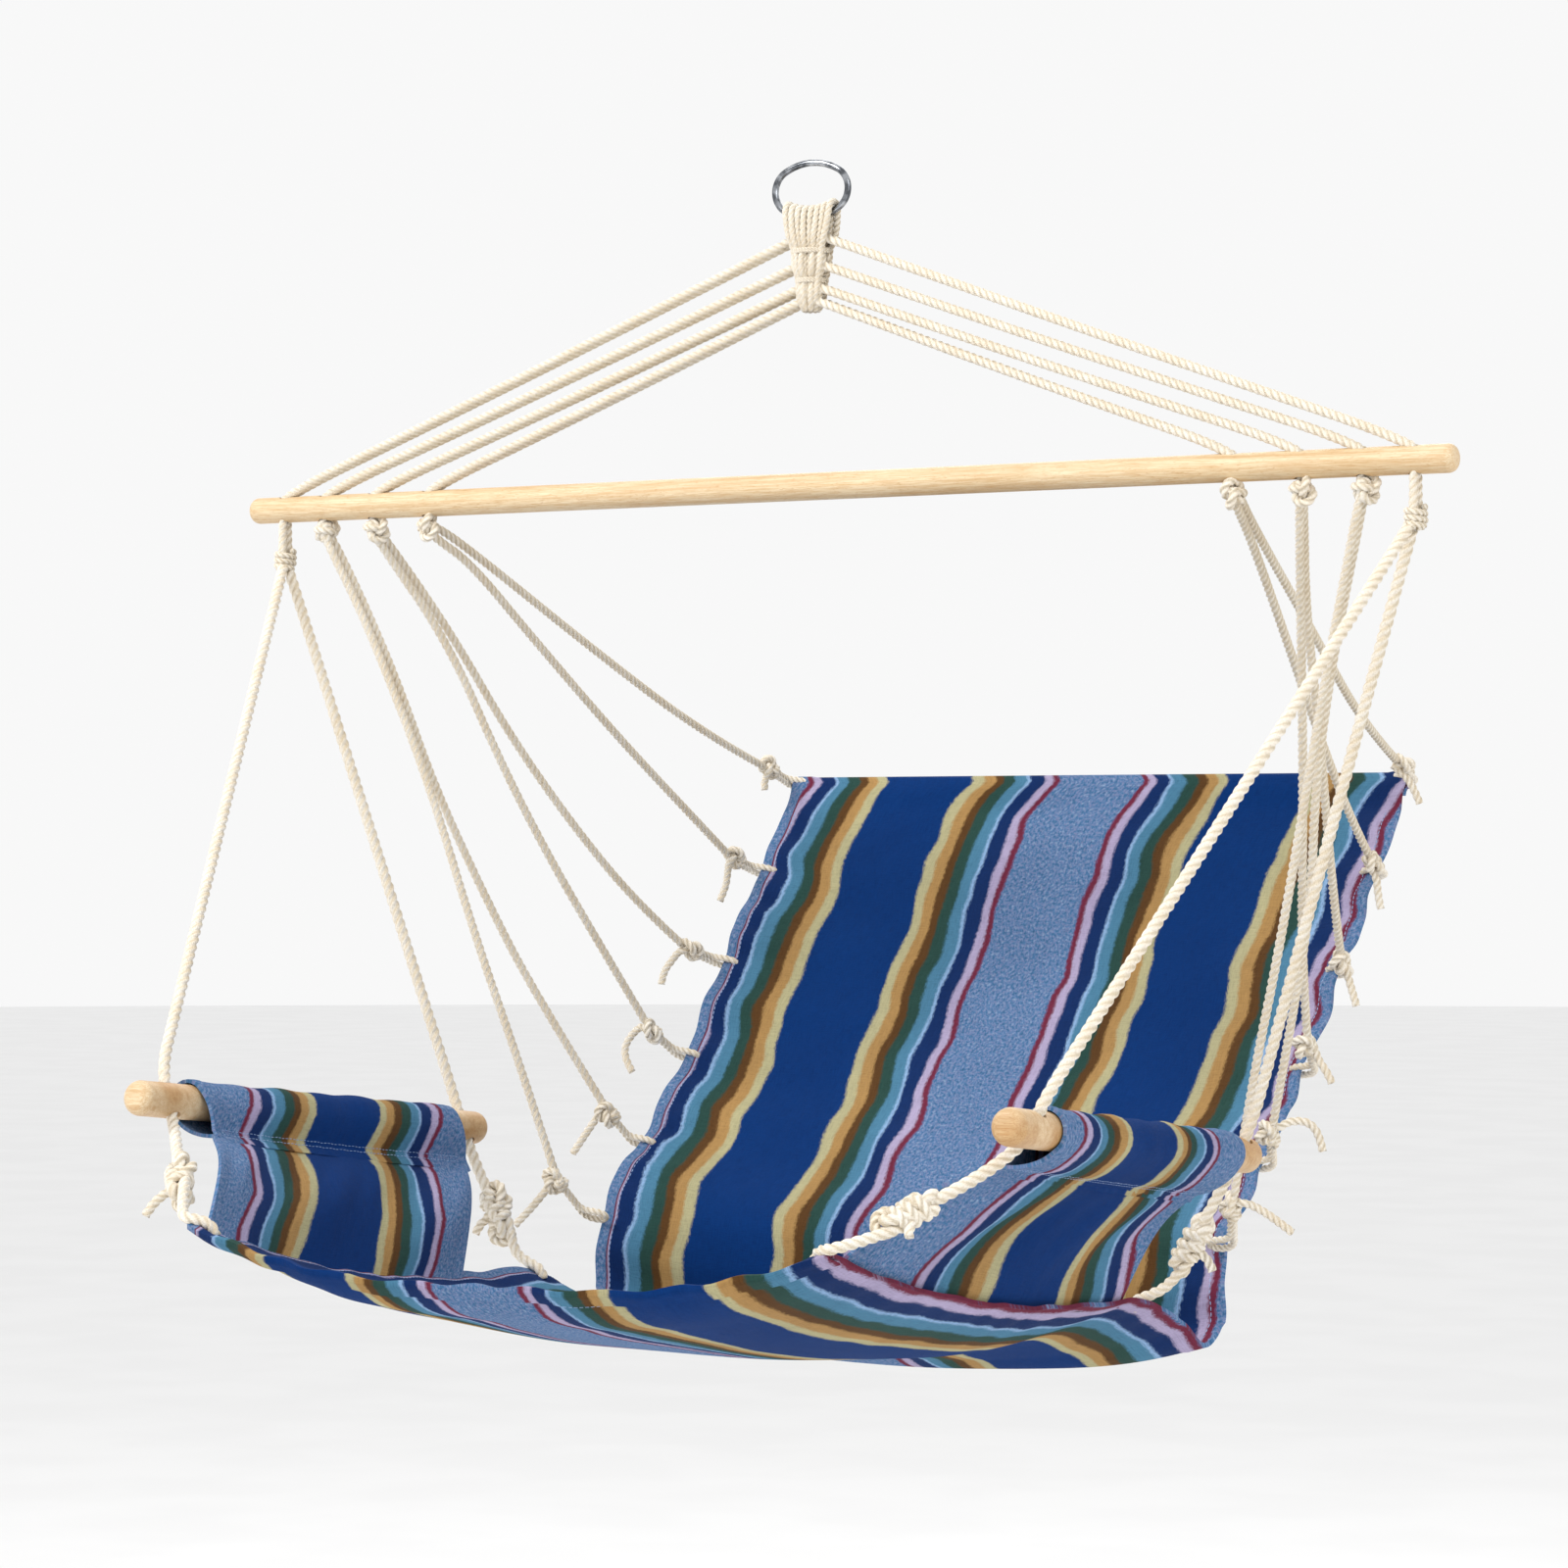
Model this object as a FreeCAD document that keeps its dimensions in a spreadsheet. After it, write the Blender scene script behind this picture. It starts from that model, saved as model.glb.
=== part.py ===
import FreeCAD, Part
import math
import os
from FreeCAD import Placement, Rotation, Vector

# Hanging hammock chair. Millimetres, +Z up, -Y towards the sitter's feet, +X along the spreader bar.
# The origin is the inside top of the hanging ring, where a hook would carry it.

doc = FreeCAD.newDocument("HammockChair")

# ---------------------------------------------------------------------------
# Driving dimensions
# ---------------------------------------------------------------------------

DIMENSIONS = [
    ("ring_wire", 5.0),
    ("ring_half_width", 30.3),
    ("ring_half_height", 19.9),
    ("ring_lower_arc", 45.0),
    ("cord_diameter", 6.6),
    ("arm_cord_diameter", 8.4),
    ("loop_cord_diameter", 5.0),
    ("loop_slack", 1.0),
    ("loop_spread", 48.0),
    ("loop_count", 8),
    ("swing_axis_rise", 1.5),
    ("swing_gap_radius", 11.0),
    ("bar_length", 1000.0),
    ("bar_diameter", 20.0),
    ("bar_drop", 233.0),
    ("bar_end_round", 6.0),
    ("bar_hole", 10.0),
    ("hole_first", 470.0),
    ("hole_second", 432.0),
    ("hole_third", 386.0),
    ("hole_fourth", 336.0),
    ("knot_drop", 18.0),
    ("knot_radius", 7.4),
    ("knot_reach", 10.0),
    ("stem_knot_drop", 38.0),
    ("arm_length", 408.0),
    ("arm_diameter", 25.0),
    ("arm_end_round", 8.0),
    ("arm_hole", 11.5),
    ("arm_front_hole", 166.0),
    ("arm_rear_hole", 184.0),
    ("sleeve_start", 58.0),
    ("sleeve_end", 364.0),
    ("sleeve_thickness", 2.0),
    ("sleeve_slack", 0.3),
    ("cloth_thickness", 3.0),
    ("hem_rod_diameter", 6.0),
    ("hem_rod_length", 560.0),
    ("hem_rod_round", 2.0),
    ("hem_thickness", 1.8),
    ("edge_knot_radius", 9.0),
    ("arm_knot_radius", 12.0),
    ("seat_shift", 0.0),
]

sheet = doc.addObject("Spreadsheet::Sheet", "Dimensions")
for row, (alias, value) in enumerate(DIMENSIONS, start=1):
    sheet.set(f"A{row}", alias)
    sheet.set(f"B{row}", str(value))
    sheet.setAlias(f"B{row}", alias)
doc.recompute()


def size(alias):
    return float(sheet.get(alias))


# The seat hangs in balance under the bar when its own shapes are moved by this much.
SEAT_SHIFT = Vector(0, size("seat_shift"), 0)
BAR_AXIS_Z = -size("bar_drop")
ROCK_AXIS_Z = BAR_AXIS_Z - size("knot_drop")
STEM_KNOT_Z = BAR_AXIS_Z - size("stem_knot_drop")
HOLES = [size("hole_first"), size("hole_second"), size("hole_third"), size("hole_fourth")]
SIDES = [("left", -1), ("right", 1)]

parts = []


def keep(obj, label, placement=None):
    """Name a finished sub-part and list it for export."""
    obj.Label = label
    if placement is not None:
        obj.Placement = placement
    parts.append(obj)
    return obj


def feature(label, shape):
    """A sub-part whose shape is swept, lofted or gathered below."""
    obj = doc.addObject("Part::Feature", label)
    obj.Shape = shape
    return keep(obj, label, Placement())


def mirrored(points, side):
    """Points of the right-hand side, or their mirror image on the left."""
    return [Vector(point.x * side, point.y, point.z) for point in points]


# ---------------------------------------------------------------------------
# Shapes shared by the cords, knots and wooden rods
# ---------------------------------------------------------------------------

RUN_SHARE = 0.45


def cord_path(points, label):
    """Straight runs joined by tangent arcs, each as large as its two runs allow."""
    edges = []
    radii = []
    run_start = points[0]
    for before, corner, after in zip(points, points[1:], points[2:]):
        back = before - corner
        ahead = after - corner
        reach = RUN_SHARE * min(back.Length, ahead.Length)
        back.normalize()
        ahead.normalize()
        half_opening = back.getAngle(ahead) / 2
        radius = reach * math.tan(half_opening)
        inward = (back + ahead).normalize()
        arc_centre = corner + inward * (reach / math.cos(half_opening))
        arc_start = corner + back * reach
        arc_end = corner + ahead * reach
        edges.append(Part.LineSegment(run_start, arc_start).toShape())
        edges.append(Part.Arc(arc_start, arc_centre - inward * radius, arc_end).toShape())
        radii.append(radius)
        run_start = arc_end
    edges.append(Part.LineSegment(run_start, points[-1]).toShape())
    if radii:
        print(f"{label}: tightest arc {min(radii):.0f} mm")
    return Part.Wire(edges)


def cord(points, diameter, label):
    """A solid cord along its route."""
    path = cord_path(points, label)
    along = (points[1] - points[0]).normalize()
    section = Part.Wire([Part.makeCircle(diameter / 2, points[0], along)])
    solid = path.makePipeShell([section], True, True)
    ideal = path.Length * math.pi * diameter ** 2 / 4
    if abs(solid.Volume - ideal) > 0.02 * ideal:
        raise RuntimeError(f"{label} has volume {solid.Volume:.0f}, not {ideal:.0f}")
    return solid


def ball(centre, radius):
    return Part.makeSphere(radius, centre)


def rod_between(start, end, diameter):
    along = end - start
    return Part.makeCylinder(diameter / 2, along.Length, start, along)


def knot_with_ends(centre, radius, ends, diameter):
    """A ball with short cord ends leaving it, turned so that its seam stays clear of them."""
    first, second = [end - centre for end in ends]
    knot = Part.makeSphere(radius)
    knot.Placement = Placement(centre, Rotation((first + second) * -1, Vector(), first.cross(second), "ZXY"))
    whole = knot.fuse([rod_between(centre, end, diameter) for end in ends])
    if len(whole.Solids) != 1 or whole.Volume < knot.Volume:
        raise RuntimeError("a knot did not join its cord ends")
    return whole


def plane_of(body, role):
    return next(item for item in body.Origin.OriginFeatures if item.Role == role)


def sketch_on(body, role, name):
    sketch = body.newObject("Sketcher::SketchObject", name)
    sketch.AttachmentSupport = [(plane_of(body, role), "")]
    sketch.MapMode = "FlatFace"
    return sketch


def wooden_rod(label, length_alias, diameter_alias, round_alias, hole_alias, hole_cells):
    """A turned rod along its own X axis with rounded ends and cord holes across it."""
    import Sketcher
    body = doc.addObject("PartDesign::Body", label)
    section = sketch_on(body, "YZ_Plane", label + "_section")
    section.addGeometry(Part.Circle(Vector(0, 0, 0), Vector(0, 0, 1), size(diameter_alias) / 2), False)
    section.addConstraint(Sketcher.Constraint("Coincident", 0, 3, -1, 1))
    section.addConstraint(Sketcher.Constraint("Diameter", 0, size(diameter_alias)))
    section.setExpression("Constraints[1]", "Dimensions." + diameter_alias)
    pad = body.newObject("PartDesign::Pad", label + "_length")
    pad.Profile = section
    pad.Midplane = True
    pad.setExpression("Length", "Dimensions." + length_alias)
    doc.recompute()
    ends = body.newObject("PartDesign::Fillet", label + "_ends")
    rims = []
    for number, edge in enumerate(pad.Shape.Edges, start=1):
        if edge.Closed:
            rims.append(f"Edge{number}")
    ends.Base = (pad, rims)
    ends.setExpression("Radius", "Dimensions." + round_alias)
    doc.recompute()
    if hole_cells:
        drilling = sketch_on(body, "XY_Plane", label + "_holes")
        for index, (cell, direction) in enumerate(hole_cells):
            centre = Vector(direction * size(cell), 0, 0)
            drilling.addGeometry(Part.Circle(centre, Vector(0, 0, 1), size(hole_alias) / 2), False)
            drilling.addConstraint(Sketcher.Constraint("PointOnObject", index, 3, -1))
            place = drilling.addConstraint(Sketcher.Constraint("DistanceX", -1, 1, index, 3, centre.x))
            drilling.setExpression(f"Constraints[{place}]", f"{direction} * Dimensions.{cell}")
            width = drilling.addConstraint(Sketcher.Constraint("Diameter", index, size(hole_alias)))
            drilling.setExpression(f"Constraints[{width}]", "Dimensions." + hole_alias)
        doc.recompute()
        solid_before = ends.Shape.Volume
        pocket = body.newObject("PartDesign::Pocket", label + "_drilled")
        pocket.Profile = drilling
        pocket.Type = "ThroughAll"
        pocket.Midplane = True
        doc.recompute()
        if pocket.Shape.Volume >= solid_before:
            raise RuntimeError(label + " was not drilled")
    return body


# ---------------------------------------------------------------------------
# Hanging ring: an oval of round wire, made of two wide and two tight arcs
# ---------------------------------------------------------------------------

WIRE = size("ring_wire")
RING_CENTRE_Z = WIRE / 2 - size("ring_half_height")
RING_BOTTOM_Z = RING_CENTRE_Z - size("ring_half_height")
WIDE_ARC = size("ring_lower_arc")
LOWER_ARC_CENTRE = Vector(0, 0, RING_BOTTOM_Z + WIDE_ARC)


def hanging_ring():
    half_width = size("ring_half_width")
    rise = WIDE_ARC - size("ring_half_height")
    tight_arc = (WIDE_ARC ** 2 - half_width ** 2 - rise ** 2) / (2 * (WIDE_ARC - half_width))
    tight_centre = half_width - tight_arc
    lean = math.atan2(tight_centre, rise)
    corner_x = WIDE_ARC * math.sin(lean)
    corner_z = WIDE_ARC * math.cos(lean) - rise
    centre = Vector(0, 0, RING_CENTRE_Z)
    bottom = centre + Vector(0, 0, -size("ring_half_height"))
    top = centre + Vector(0, 0, size("ring_half_height"))
    low_left = centre + Vector(-corner_x, 0, -corner_z)
    low_right = centre + Vector(corner_x, 0, -corner_z)
    high_right = centre + Vector(corner_x, 0, corner_z)
    high_left = centre + Vector(-corner_x, 0, corner_z)
    edges = [
        Part.Arc(low_left, bottom, low_right).toShape(),
        Part.Arc(low_right, centre + Vector(half_width, 0, 0), high_right).toShape(),
        Part.Arc(high_right, top, high_left).toShape(),
        Part.Arc(high_left, centre + Vector(-half_width, 0, 0), low_left).toShape(),
    ]
    start_direction = Vector(math.cos(lean), 0, -math.sin(lean))
    section = Part.Wire([Part.makeCircle(WIRE / 2, low_left, start_direction)])
    return Part.Wire(edges).makePipeShell([section], True, True)


feature("hanging_ring", hanging_ring())

# ---------------------------------------------------------------------------
# Cord loops on the ring: side by side over its lower wire, cut off round the swing axis
# ---------------------------------------------------------------------------

SWING_AXIS_Z = RING_BOTTOM_Z + size("swing_axis_rise")
CROWN_HALF_LENGTH = 40.0
SWING_RUNNING_GAP = 0.5


def swing_drum(radius):
    """A drum round the fore-and-aft swing axis, which parts the loops from the cords below."""
    start = Vector(-CROWN_HALF_LENGTH, 0, SWING_AXIS_Z)
    return Part.makeCylinder(radius, 2 * CROWN_HALF_LENGTH, start, Vector(1, 0, 0))


def ring_loop(angle):
    """One cord bent over the wire at an angle along the ring's lower arc."""
    outward = Vector(math.sin(angle), 0, -math.cos(angle))
    wire_centre = LOWER_ARC_CENTRE + outward * WIDE_ARC
    bend = WIRE / 2 + size("loop_slack") + size("loop_cord_diameter") / 2
    front = wire_centre + Vector(0, -bend, 0)
    rear = wire_centre + Vector(0, bend, 0)
    leg = outward * (2 * bend)
    over = wire_centre - outward * bend
    path = Part.Wire([
        Part.LineSegment(front + leg, front).toShape(),
        Part.Arc(front, over, rear).toShape(),
        Part.LineSegment(rear, rear + leg).toShape(),
    ])
    section = Part.Wire([Part.makeCircle(size("loop_cord_diameter") / 2, front + leg, outward)])
    whole = path.makePipeShell([section], True, True)
    return whole.common(swing_drum(size("swing_gap_radius")))


def ring_loops():
    count = int(size("loop_count"))
    step = math.radians(size("loop_spread")) / (count - 1)
    middle = (count - 1) / 2
    loops = []
    for index in range(count):
        loops.extend(ring_loop((index - middle) * step).Solids)
    return Part.makeCompound(loops)


feature("ring_loops", ring_loops())

# ---------------------------------------------------------------------------
# Crown: the gathered cords under the ring and the three lashings round them
# ---------------------------------------------------------------------------

# Height, half width along X and half depth along Y of the gathered cords.
CROWN_SECTIONS = [
    (SWING_AXIS_Z, 20.5, 8.6),
    (-57.0, 16.0, 8.0),
    (-74.0, 13.5, 7.5),
    (-90.0, 10.5, 7.2),
    (-104.0, 8.0, 7.0),
]
LASHINGS = [("upper", -57.0, -71.0, 2.2), ("middle", -76.0, -87.0, 2.2), ("lower", -92.0, -102.0, 2.2)]


def crown_half_width(height):
    for (high, wide, _), (low, narrow, _) in zip(CROWN_SECTIONS, CROWN_SECTIONS[1:]):
        if low <= height <= high:
            return narrow + (wide - narrow) * (height - low) / (high - low)
    return CROWN_SECTIONS[-1][1]


def oval_wire(height, half_width, half_depth):
    oval = Part.Ellipse(Vector(0, 0, height), half_width, half_depth)
    return Part.Wire([oval.toShape()])


def crown_bundle(thickening=0.0):
    ovals = []
    for height, half_width, half_depth in CROWN_SECTIONS:
        ovals.append(oval_wire(height, half_width + thickening, half_depth + thickening))
    return Part.makeLoft(ovals, True, True)


def slab(high, low):
    reach = 2 * CROWN_HALF_LENGTH
    return Part.makeBox(reach, reach, high - low, Vector(-reach / 2, -reach / 2, low))


bundle = crown_bundle()
feature("crown_cords", bundle.cut(swing_drum(size("swing_gap_radius") + SWING_RUNNING_GAP)))
for tier, lashing_top, lashing_bottom, lashing_thickness in LASHINGS:
    wrapped = crown_bundle(lashing_thickness).common(slab(lashing_top, lashing_bottom))
    feature("crown_lashing_" + tier, wrapped.cut(bundle))

# ---------------------------------------------------------------------------
# Spreader bar and the cords that carry it
# ---------------------------------------------------------------------------

HOLE_CELLS = ["hole_first", "hole_second", "hole_third", "hole_fourth"]
bar_holes = [(cell, direction) for cell in HOLE_CELLS for _, direction in SIDES]
bar = wooden_rod("spreader_bar", "bar_length", "bar_diameter", "bar_end_round", "bar_hole", bar_holes)
keep(bar, "spreader_bar", Placement(Vector(0, 0, BAR_AXIS_Z), Rotation()))

# Where each pair of cords leaves the crown, from the outermost hole inwards.
CROWN_EXITS = [-54.0, -73.5, -89.5, -99.0]
STRAND_OFFSET = 3.5
BAR_TOP_Z = BAR_AXIS_Z + size("bar_diameter") / 2
HOLE_CORD = size("bar_hole") - 0.6
PLUG_ABOVE_BAR = 4.0
PLUG_BELOW_BAR = 0.2


def suspension_cords(hole_x, exit_z, side, label):
    """Two strands from the crown to one hole, and the cords pressed together inside the hole."""
    plug_top = Vector(hole_x * side, 0, BAR_TOP_Z + PLUG_ABOVE_BAR)
    plug_bottom = Vector(hole_x * side, 0, BAR_AXIS_Z - size("bar_diameter") / 2 - PLUG_BELOW_BAR)
    solid = rod_between(plug_bottom, plug_top, HOLE_CORD)
    for row in (-1, 1):
        start = Vector(crown_half_width(exit_z) + size("cord_diameter") / 2, row * STRAND_OFFSET, exit_z)
        landing = Vector(hole_x - 2.0, row * STRAND_OFFSET / 2, BAR_TOP_Z + 3.2)
        solid = solid.fuse(cord(mirrored([start, landing], side), size("cord_diameter"), label))
    return solid


for side_name, side in SIDES:
    for number, (hole_x, exit_z) in enumerate(zip(HOLES, CROWN_EXITS), start=1):
        label = f"suspension_cords_{side_name}_{number}"
        feature(label, suspension_cords(hole_x, exit_z, side, label))


def stopper_knots(side):
    """A knot under each of the three inner holes; the outermost pair is knotted lower down."""
    knots = []
    for hole_x in HOLES[1:]:
        knots.append(ball(Vector(hole_x * side, 0, ROCK_AXIS_Z), size("knot_radius")))
    return Part.makeCompound(knots)


for side_name, side in SIDES:
    feature("stopper_knots_" + side_name, stopper_knots(side))

# ---------------------------------------------------------------------------
# Armrests: a turned rod in the sleeve of a cloth panel on each side
# ---------------------------------------------------------------------------

ARM_FRONT = Vector(341, -355, -669) + SEAT_SHIFT
ARM_REAR = Vector(322, 82, -714) + SEAT_SHIFT


def arm_point(side, distance):
    """A point on the armrest's axis, this far from its front end."""
    front, rear = mirrored([ARM_FRONT, ARM_REAR], side)
    return front + (rear - front).normalize() * distance


def arm_frame(side):
    """Own X along the rod from front to rear, own Z along the cord holes."""
    front, rear = mirrored([ARM_FRONT, ARM_REAR], side)
    along = (rear - front).normalize()
    hole_lean = Vector(0.45 * side, 0, 1)
    across = along.cross(hole_lean).normalize() * -1
    return Rotation(along, across, hole_lean, "XZY")


def arm_hole_direction(side):
    return arm_frame(side).multVec(Vector(0, 0, 1))


# The cord holes are placed from the middle of the rod, the first towards the front.
ARM_HOLES = [("arm_front_hole", -1), ("arm_rear_hole", 1)]

for side_name, side in SIDES:
    label = "armrest_rod_" + side_name
    rod = wooden_rod(label, "arm_length", "arm_diameter", "arm_end_round", "arm_hole", ARM_HOLES)
    rod_middle = arm_point(side, size("arm_length") / 2)
    keep(rod, label, Placement(rod_middle, arm_frame(side)))

# ---------------------------------------------------------------------------
# Cloth: one strip for seat and back, and a panel with a sleeve for each armrest
# ---------------------------------------------------------------------------

THICK = size("cloth_thickness")

# Side edge of the strip from the front hem to the top of the back: Y, Z, half width, how far the
# middle of the strip hangs beyond its edges, and how far that direction leans back from straight down.
CLOTH_STATIONS = [
    (-412, -747, 247, 32, -20),
    (-392, -753, 248, 42, -10),
    (-345, -767, 249, 43, 0),
    (-273, -783, 250, 43, 0),
    (-200, -795, 252, 44, 0),
    (-133, -803, 254, 46, 0),
    (-50, -809, 257, 47, 0),
    (25, -813, 260, 43, 0),
    (75, -832, 262, 35, 4),
    (112, -849, 264, 27, 15),
    (128, -840, 265, 26, 40),
    (130, -805, 266, 28, 55),
    (140, -775, 267, 27, 50),
    (196, -726, 268, 24, 48),
    (268, -660, 270, 22, 47),
    (332, -586, 273, 18, 48),
    (397, -513, 275, 10, 50),
    (456, -444, 276, 0, 50),
]
SECTION_FRACTIONS = [-1.0, -0.95, -0.88, -0.77, -0.6, -0.35, 0.0, 0.35, 0.6, 0.77, 0.88, 0.95, 1.0]
FULLNESS = 3.0


def cloth_section(station):
    """A thin closed band across the strip that hangs lowest in its middle."""
    depth, height, half_width, sag, lean = station
    lean = math.radians(lean)
    sag_way = Vector(0, math.sin(lean), -math.cos(lean))
    edge_line = Vector(0, depth, height) + SEAT_SHIFT
    upper = []
    for fraction in SECTION_FRACTIONS:
        drop = sag * (1 - abs(fraction) ** FULLNESS)
        upper.append(edge_line + Vector(fraction * half_width, 0, 0) + sag_way * drop)
    lower = [point + sag_way * THICK for point in upper]
    return Part.makePolygon(upper + lower[::-1] + upper[:1])


TOP_EDGE = Vector(0, CLOTH_STATIONS[-1][0], CLOTH_STATIONS[-1][1])
BACK_RISE = (TOP_EDGE - Vector(0, CLOTH_STATIONS[-2][0], CLOTH_STATIONS[-2][1])).normalize()
HEM_BORE = size("hem_rod_diameter") + 2 * size("sleeve_slack")
HEM_OUTER = HEM_BORE + 2 * size("hem_thickness")
HEM_SEAT = (HEM_BORE + HEM_OUTER) / 4
HEM_AXIS = TOP_EDGE + Vector(1, 0, 0).cross(BACK_RISE) * (-THICK / 2) + BACK_RISE * HEM_SEAT + SEAT_SHIFT
HEM_HALF_LENGTH = 274.0

strip = Part.makeLoft([cloth_section(station) for station in CLOTH_STATIONS], True, True)
hem_start = HEM_AXIS - Vector(HEM_HALF_LENGTH, 0, 0)
hem_end = HEM_AXIS + Vector(HEM_HALF_LENGTH, 0, 0)
tunnel = rod_between(hem_start, hem_end, HEM_OUTER)
tunnel_bore = rod_between(hem_start - Vector(5, 0, 0), hem_end + Vector(5, 0, 0), HEM_BORE)
feature("seat_and_back_cloth", strip.fuse(tunnel).cut(tunnel_bore))

hem_rod = wooden_rod("back_hem_rod", "hem_rod_length", "hem_rod_diameter", "hem_rod_round", "bar_hole", [])
keep(hem_rod, "back_hem_rod", Placement(HEM_AXIS, Rotation()))

# Seam of the arm panel along the seat's side edge, front to rear.
SEAM = [Vector(249.5, -400, -749), Vector(251, -273, -782), Vector(253, -200, -794), Vector(257.3, -55, -807)]
SEAM_TOPS = [0.0, 0.36, 0.57, 1.0]


def arm_cloth(side):
    """The sleeve round the rod and the panel that hangs from it to the seat's side seam."""
    sleeve_start = arm_point(side, size("sleeve_start"))
    sleeve_end = arm_point(side, size("sleeve_end"))
    bore = size("arm_diameter") + 2 * size("sleeve_slack")
    outer = bore + 2 * size("sleeve_thickness")
    along = (sleeve_end - sleeve_start).normalize()
    sleeve_bore = rod_between(sleeve_start - along * 20, sleeve_end + along * 20, bore)
    seam = [point + SEAT_SHIFT for point in mirrored(SEAM, side)]
    panel_ribs = []
    for share, foot in zip(SEAM_TOPS, seam):
        head = sleeve_start + (sleeve_end - sleeve_start) * share
        fall = (foot - head).normalize()
        outward = along.cross(fall).normalize() * side
        head = head + fall * (outer / 2 - THICK / 2)
        foot = foot + outward * THICK / 2
        waist = (head + foot) / 2 + outward * 8
        inner = [head - outward * THICK / 2, waist - outward * THICK / 2, foot - outward * THICK / 2]
        outer_side = [head + outward * THICK / 2, waist + outward * THICK / 2, foot + outward * THICK / 2]
        inner_curve = Part.Arc(*inner).toShape()
        outer_curve = Part.Arc(*reversed(outer_side)).toShape()
        top_edge = Part.LineSegment(outer_side[0], inner[0]).toShape()
        bottom_edge = Part.LineSegment(inner[-1], outer_side[-1]).toShape()
        panel_ribs.append(Part.Wire([inner_curve, bottom_edge, outer_curve, top_edge]))
    panel = Part.makeLoft(panel_ribs, True, True)
    return rod_between(sleeve_start, sleeve_end, outer).fuse(panel).cut(sleeve_bore)


for side_name, side in SIDES:
    feature("arm_cloth_" + side_name, arm_cloth(side))

# ---------------------------------------------------------------------------
# Arm cords: from the knot under the outermost hole through the armrest to the seat's edge
# ---------------------------------------------------------------------------

STEM_KNOT = Vector(size("hole_first"), 0, STEM_KNOT_Z)
STEM_START = Vector(size("hole_first"), 0, ROCK_AXIS_Z - 5)
SEAT_FRONT_EYE = Vector(250, -418, -748)
SEAT_REAR_EYE = Vector(268, 24, -812)
ARM_CORD = size("arm_cord_diameter")
STEM_KNOT_RADIUS = 9.0
ROD_CLEARANCE = size("arm_diameter") / 2 + 8.5


def towards(start, end, distance):
    return start + (end - start).normalize() * distance


def arm_cord(side, arm_hole, eye, knot_share):
    """Route above the armrest, through its hole and on to the knot near the seat's edge."""
    stem = mirrored([STEM_KNOT], side)[0]
    alias, direction = arm_hole
    hole = arm_point(side, size("arm_length") / 2 + direction * size(alias))
    way = arm_hole_direction(side)
    eye = mirrored([eye], side)[0] + SEAT_SHIFT
    above = hole + way * ROD_CLEARANCE
    below = hole - way * ROD_CLEARANCE
    knot = below + (eye - below) * knot_share
    start = towards(stem, above, STEM_KNOT_RADIUS + 1)
    end = towards(knot, below, size("arm_knot_radius") + 0.5)
    return [start, above, below, end], knot, eye


ARM_ENDS = [("front", ARM_HOLES[0], SEAT_FRONT_EYE, 0.55), ("rear", ARM_HOLES[1], SEAT_REAR_EYE, 0.50)]
TAIL_LENGTH = 30.0

for side_name, side in SIDES:
    arm_knots = []
    stem_start, stem_knot = mirrored([STEM_START, STEM_KNOT], side)
    arm_knots.append(ball(stem_knot, STEM_KNOT_RADIUS).fuse(rod_between(stem_knot, stem_start, size("bar_hole"))))
    for end_name, arm_hole, eye, knot_share in ARM_ENDS:
        route, knot, eye_place = arm_cord(side, arm_hole, eye, knot_share)
        label = f"arm_cord_{end_name}_{side_name}"
        feature(label, cord(route, ARM_CORD, label))
        ends = [towards(eye_place, knot, 3.5), knot + Vector(side * 14, -12, -TAIL_LENGTH)]
        arm_knots.append(knot_with_ends(knot, size("arm_knot_radius"), ends, ARM_CORD))
    feature("arm_cord_knots_" + side_name, Part.makeCompound(arm_knots))

# ---------------------------------------------------------------------------
# Back cords: two from each inner hole, spread down the edge of the back
# ---------------------------------------------------------------------------

# Right-hand side: the hole's number, the points of the route after the stopper knot, the knot at the
# cloth's edge, the eye in the hem that it is tied to and the way its loose tail points.
BACK_CORDS = [
    (4, [(327, 48, -268), (309, 200, -341), (291, 330, -401)], (282, 424, -430), (282, 456, -440), (6, 8, -30)),
    (4, [(327, 44, -276), (317, 119, -333), (302, 218, -407), (288, 310, -470)], (283, 366, -505), (281, 397, -513),
     (3, 4, -32)),
    (3, [(360, 66, -328), (344, 126, -408), (323, 189, -481), (303, 249, -540)], (286, 300, -578), (280, 332, -587),
     (4, -6, -30)),
    (3, [(359, 60, -335), (340, 107, -430), (322, 147, -502), (303, 188, -568)], (285, 240, -641), (278, 268, -660),
     (8, -10, -26)),
    (2, [(411, 23.5, -308), (391, 40, -369), (370, 60, -450), (350, 98, -532), (325, 127, -605)], (284, 176, -704),
     (276, 196, -726), (16, 14, -20)),
    (2, [(411, 16, -310), (391, 32, -372), (368, 51, -451), (337, 70, -571), (310, 86, -660)], (286, 104, -752),
     (276, 126, -779), (14, -16, -24)),
]
EDGE_KNOT = size("edge_knot_radius")
TAIL_CORD = 5.6
PAIR_STEP = 3.8

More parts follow.
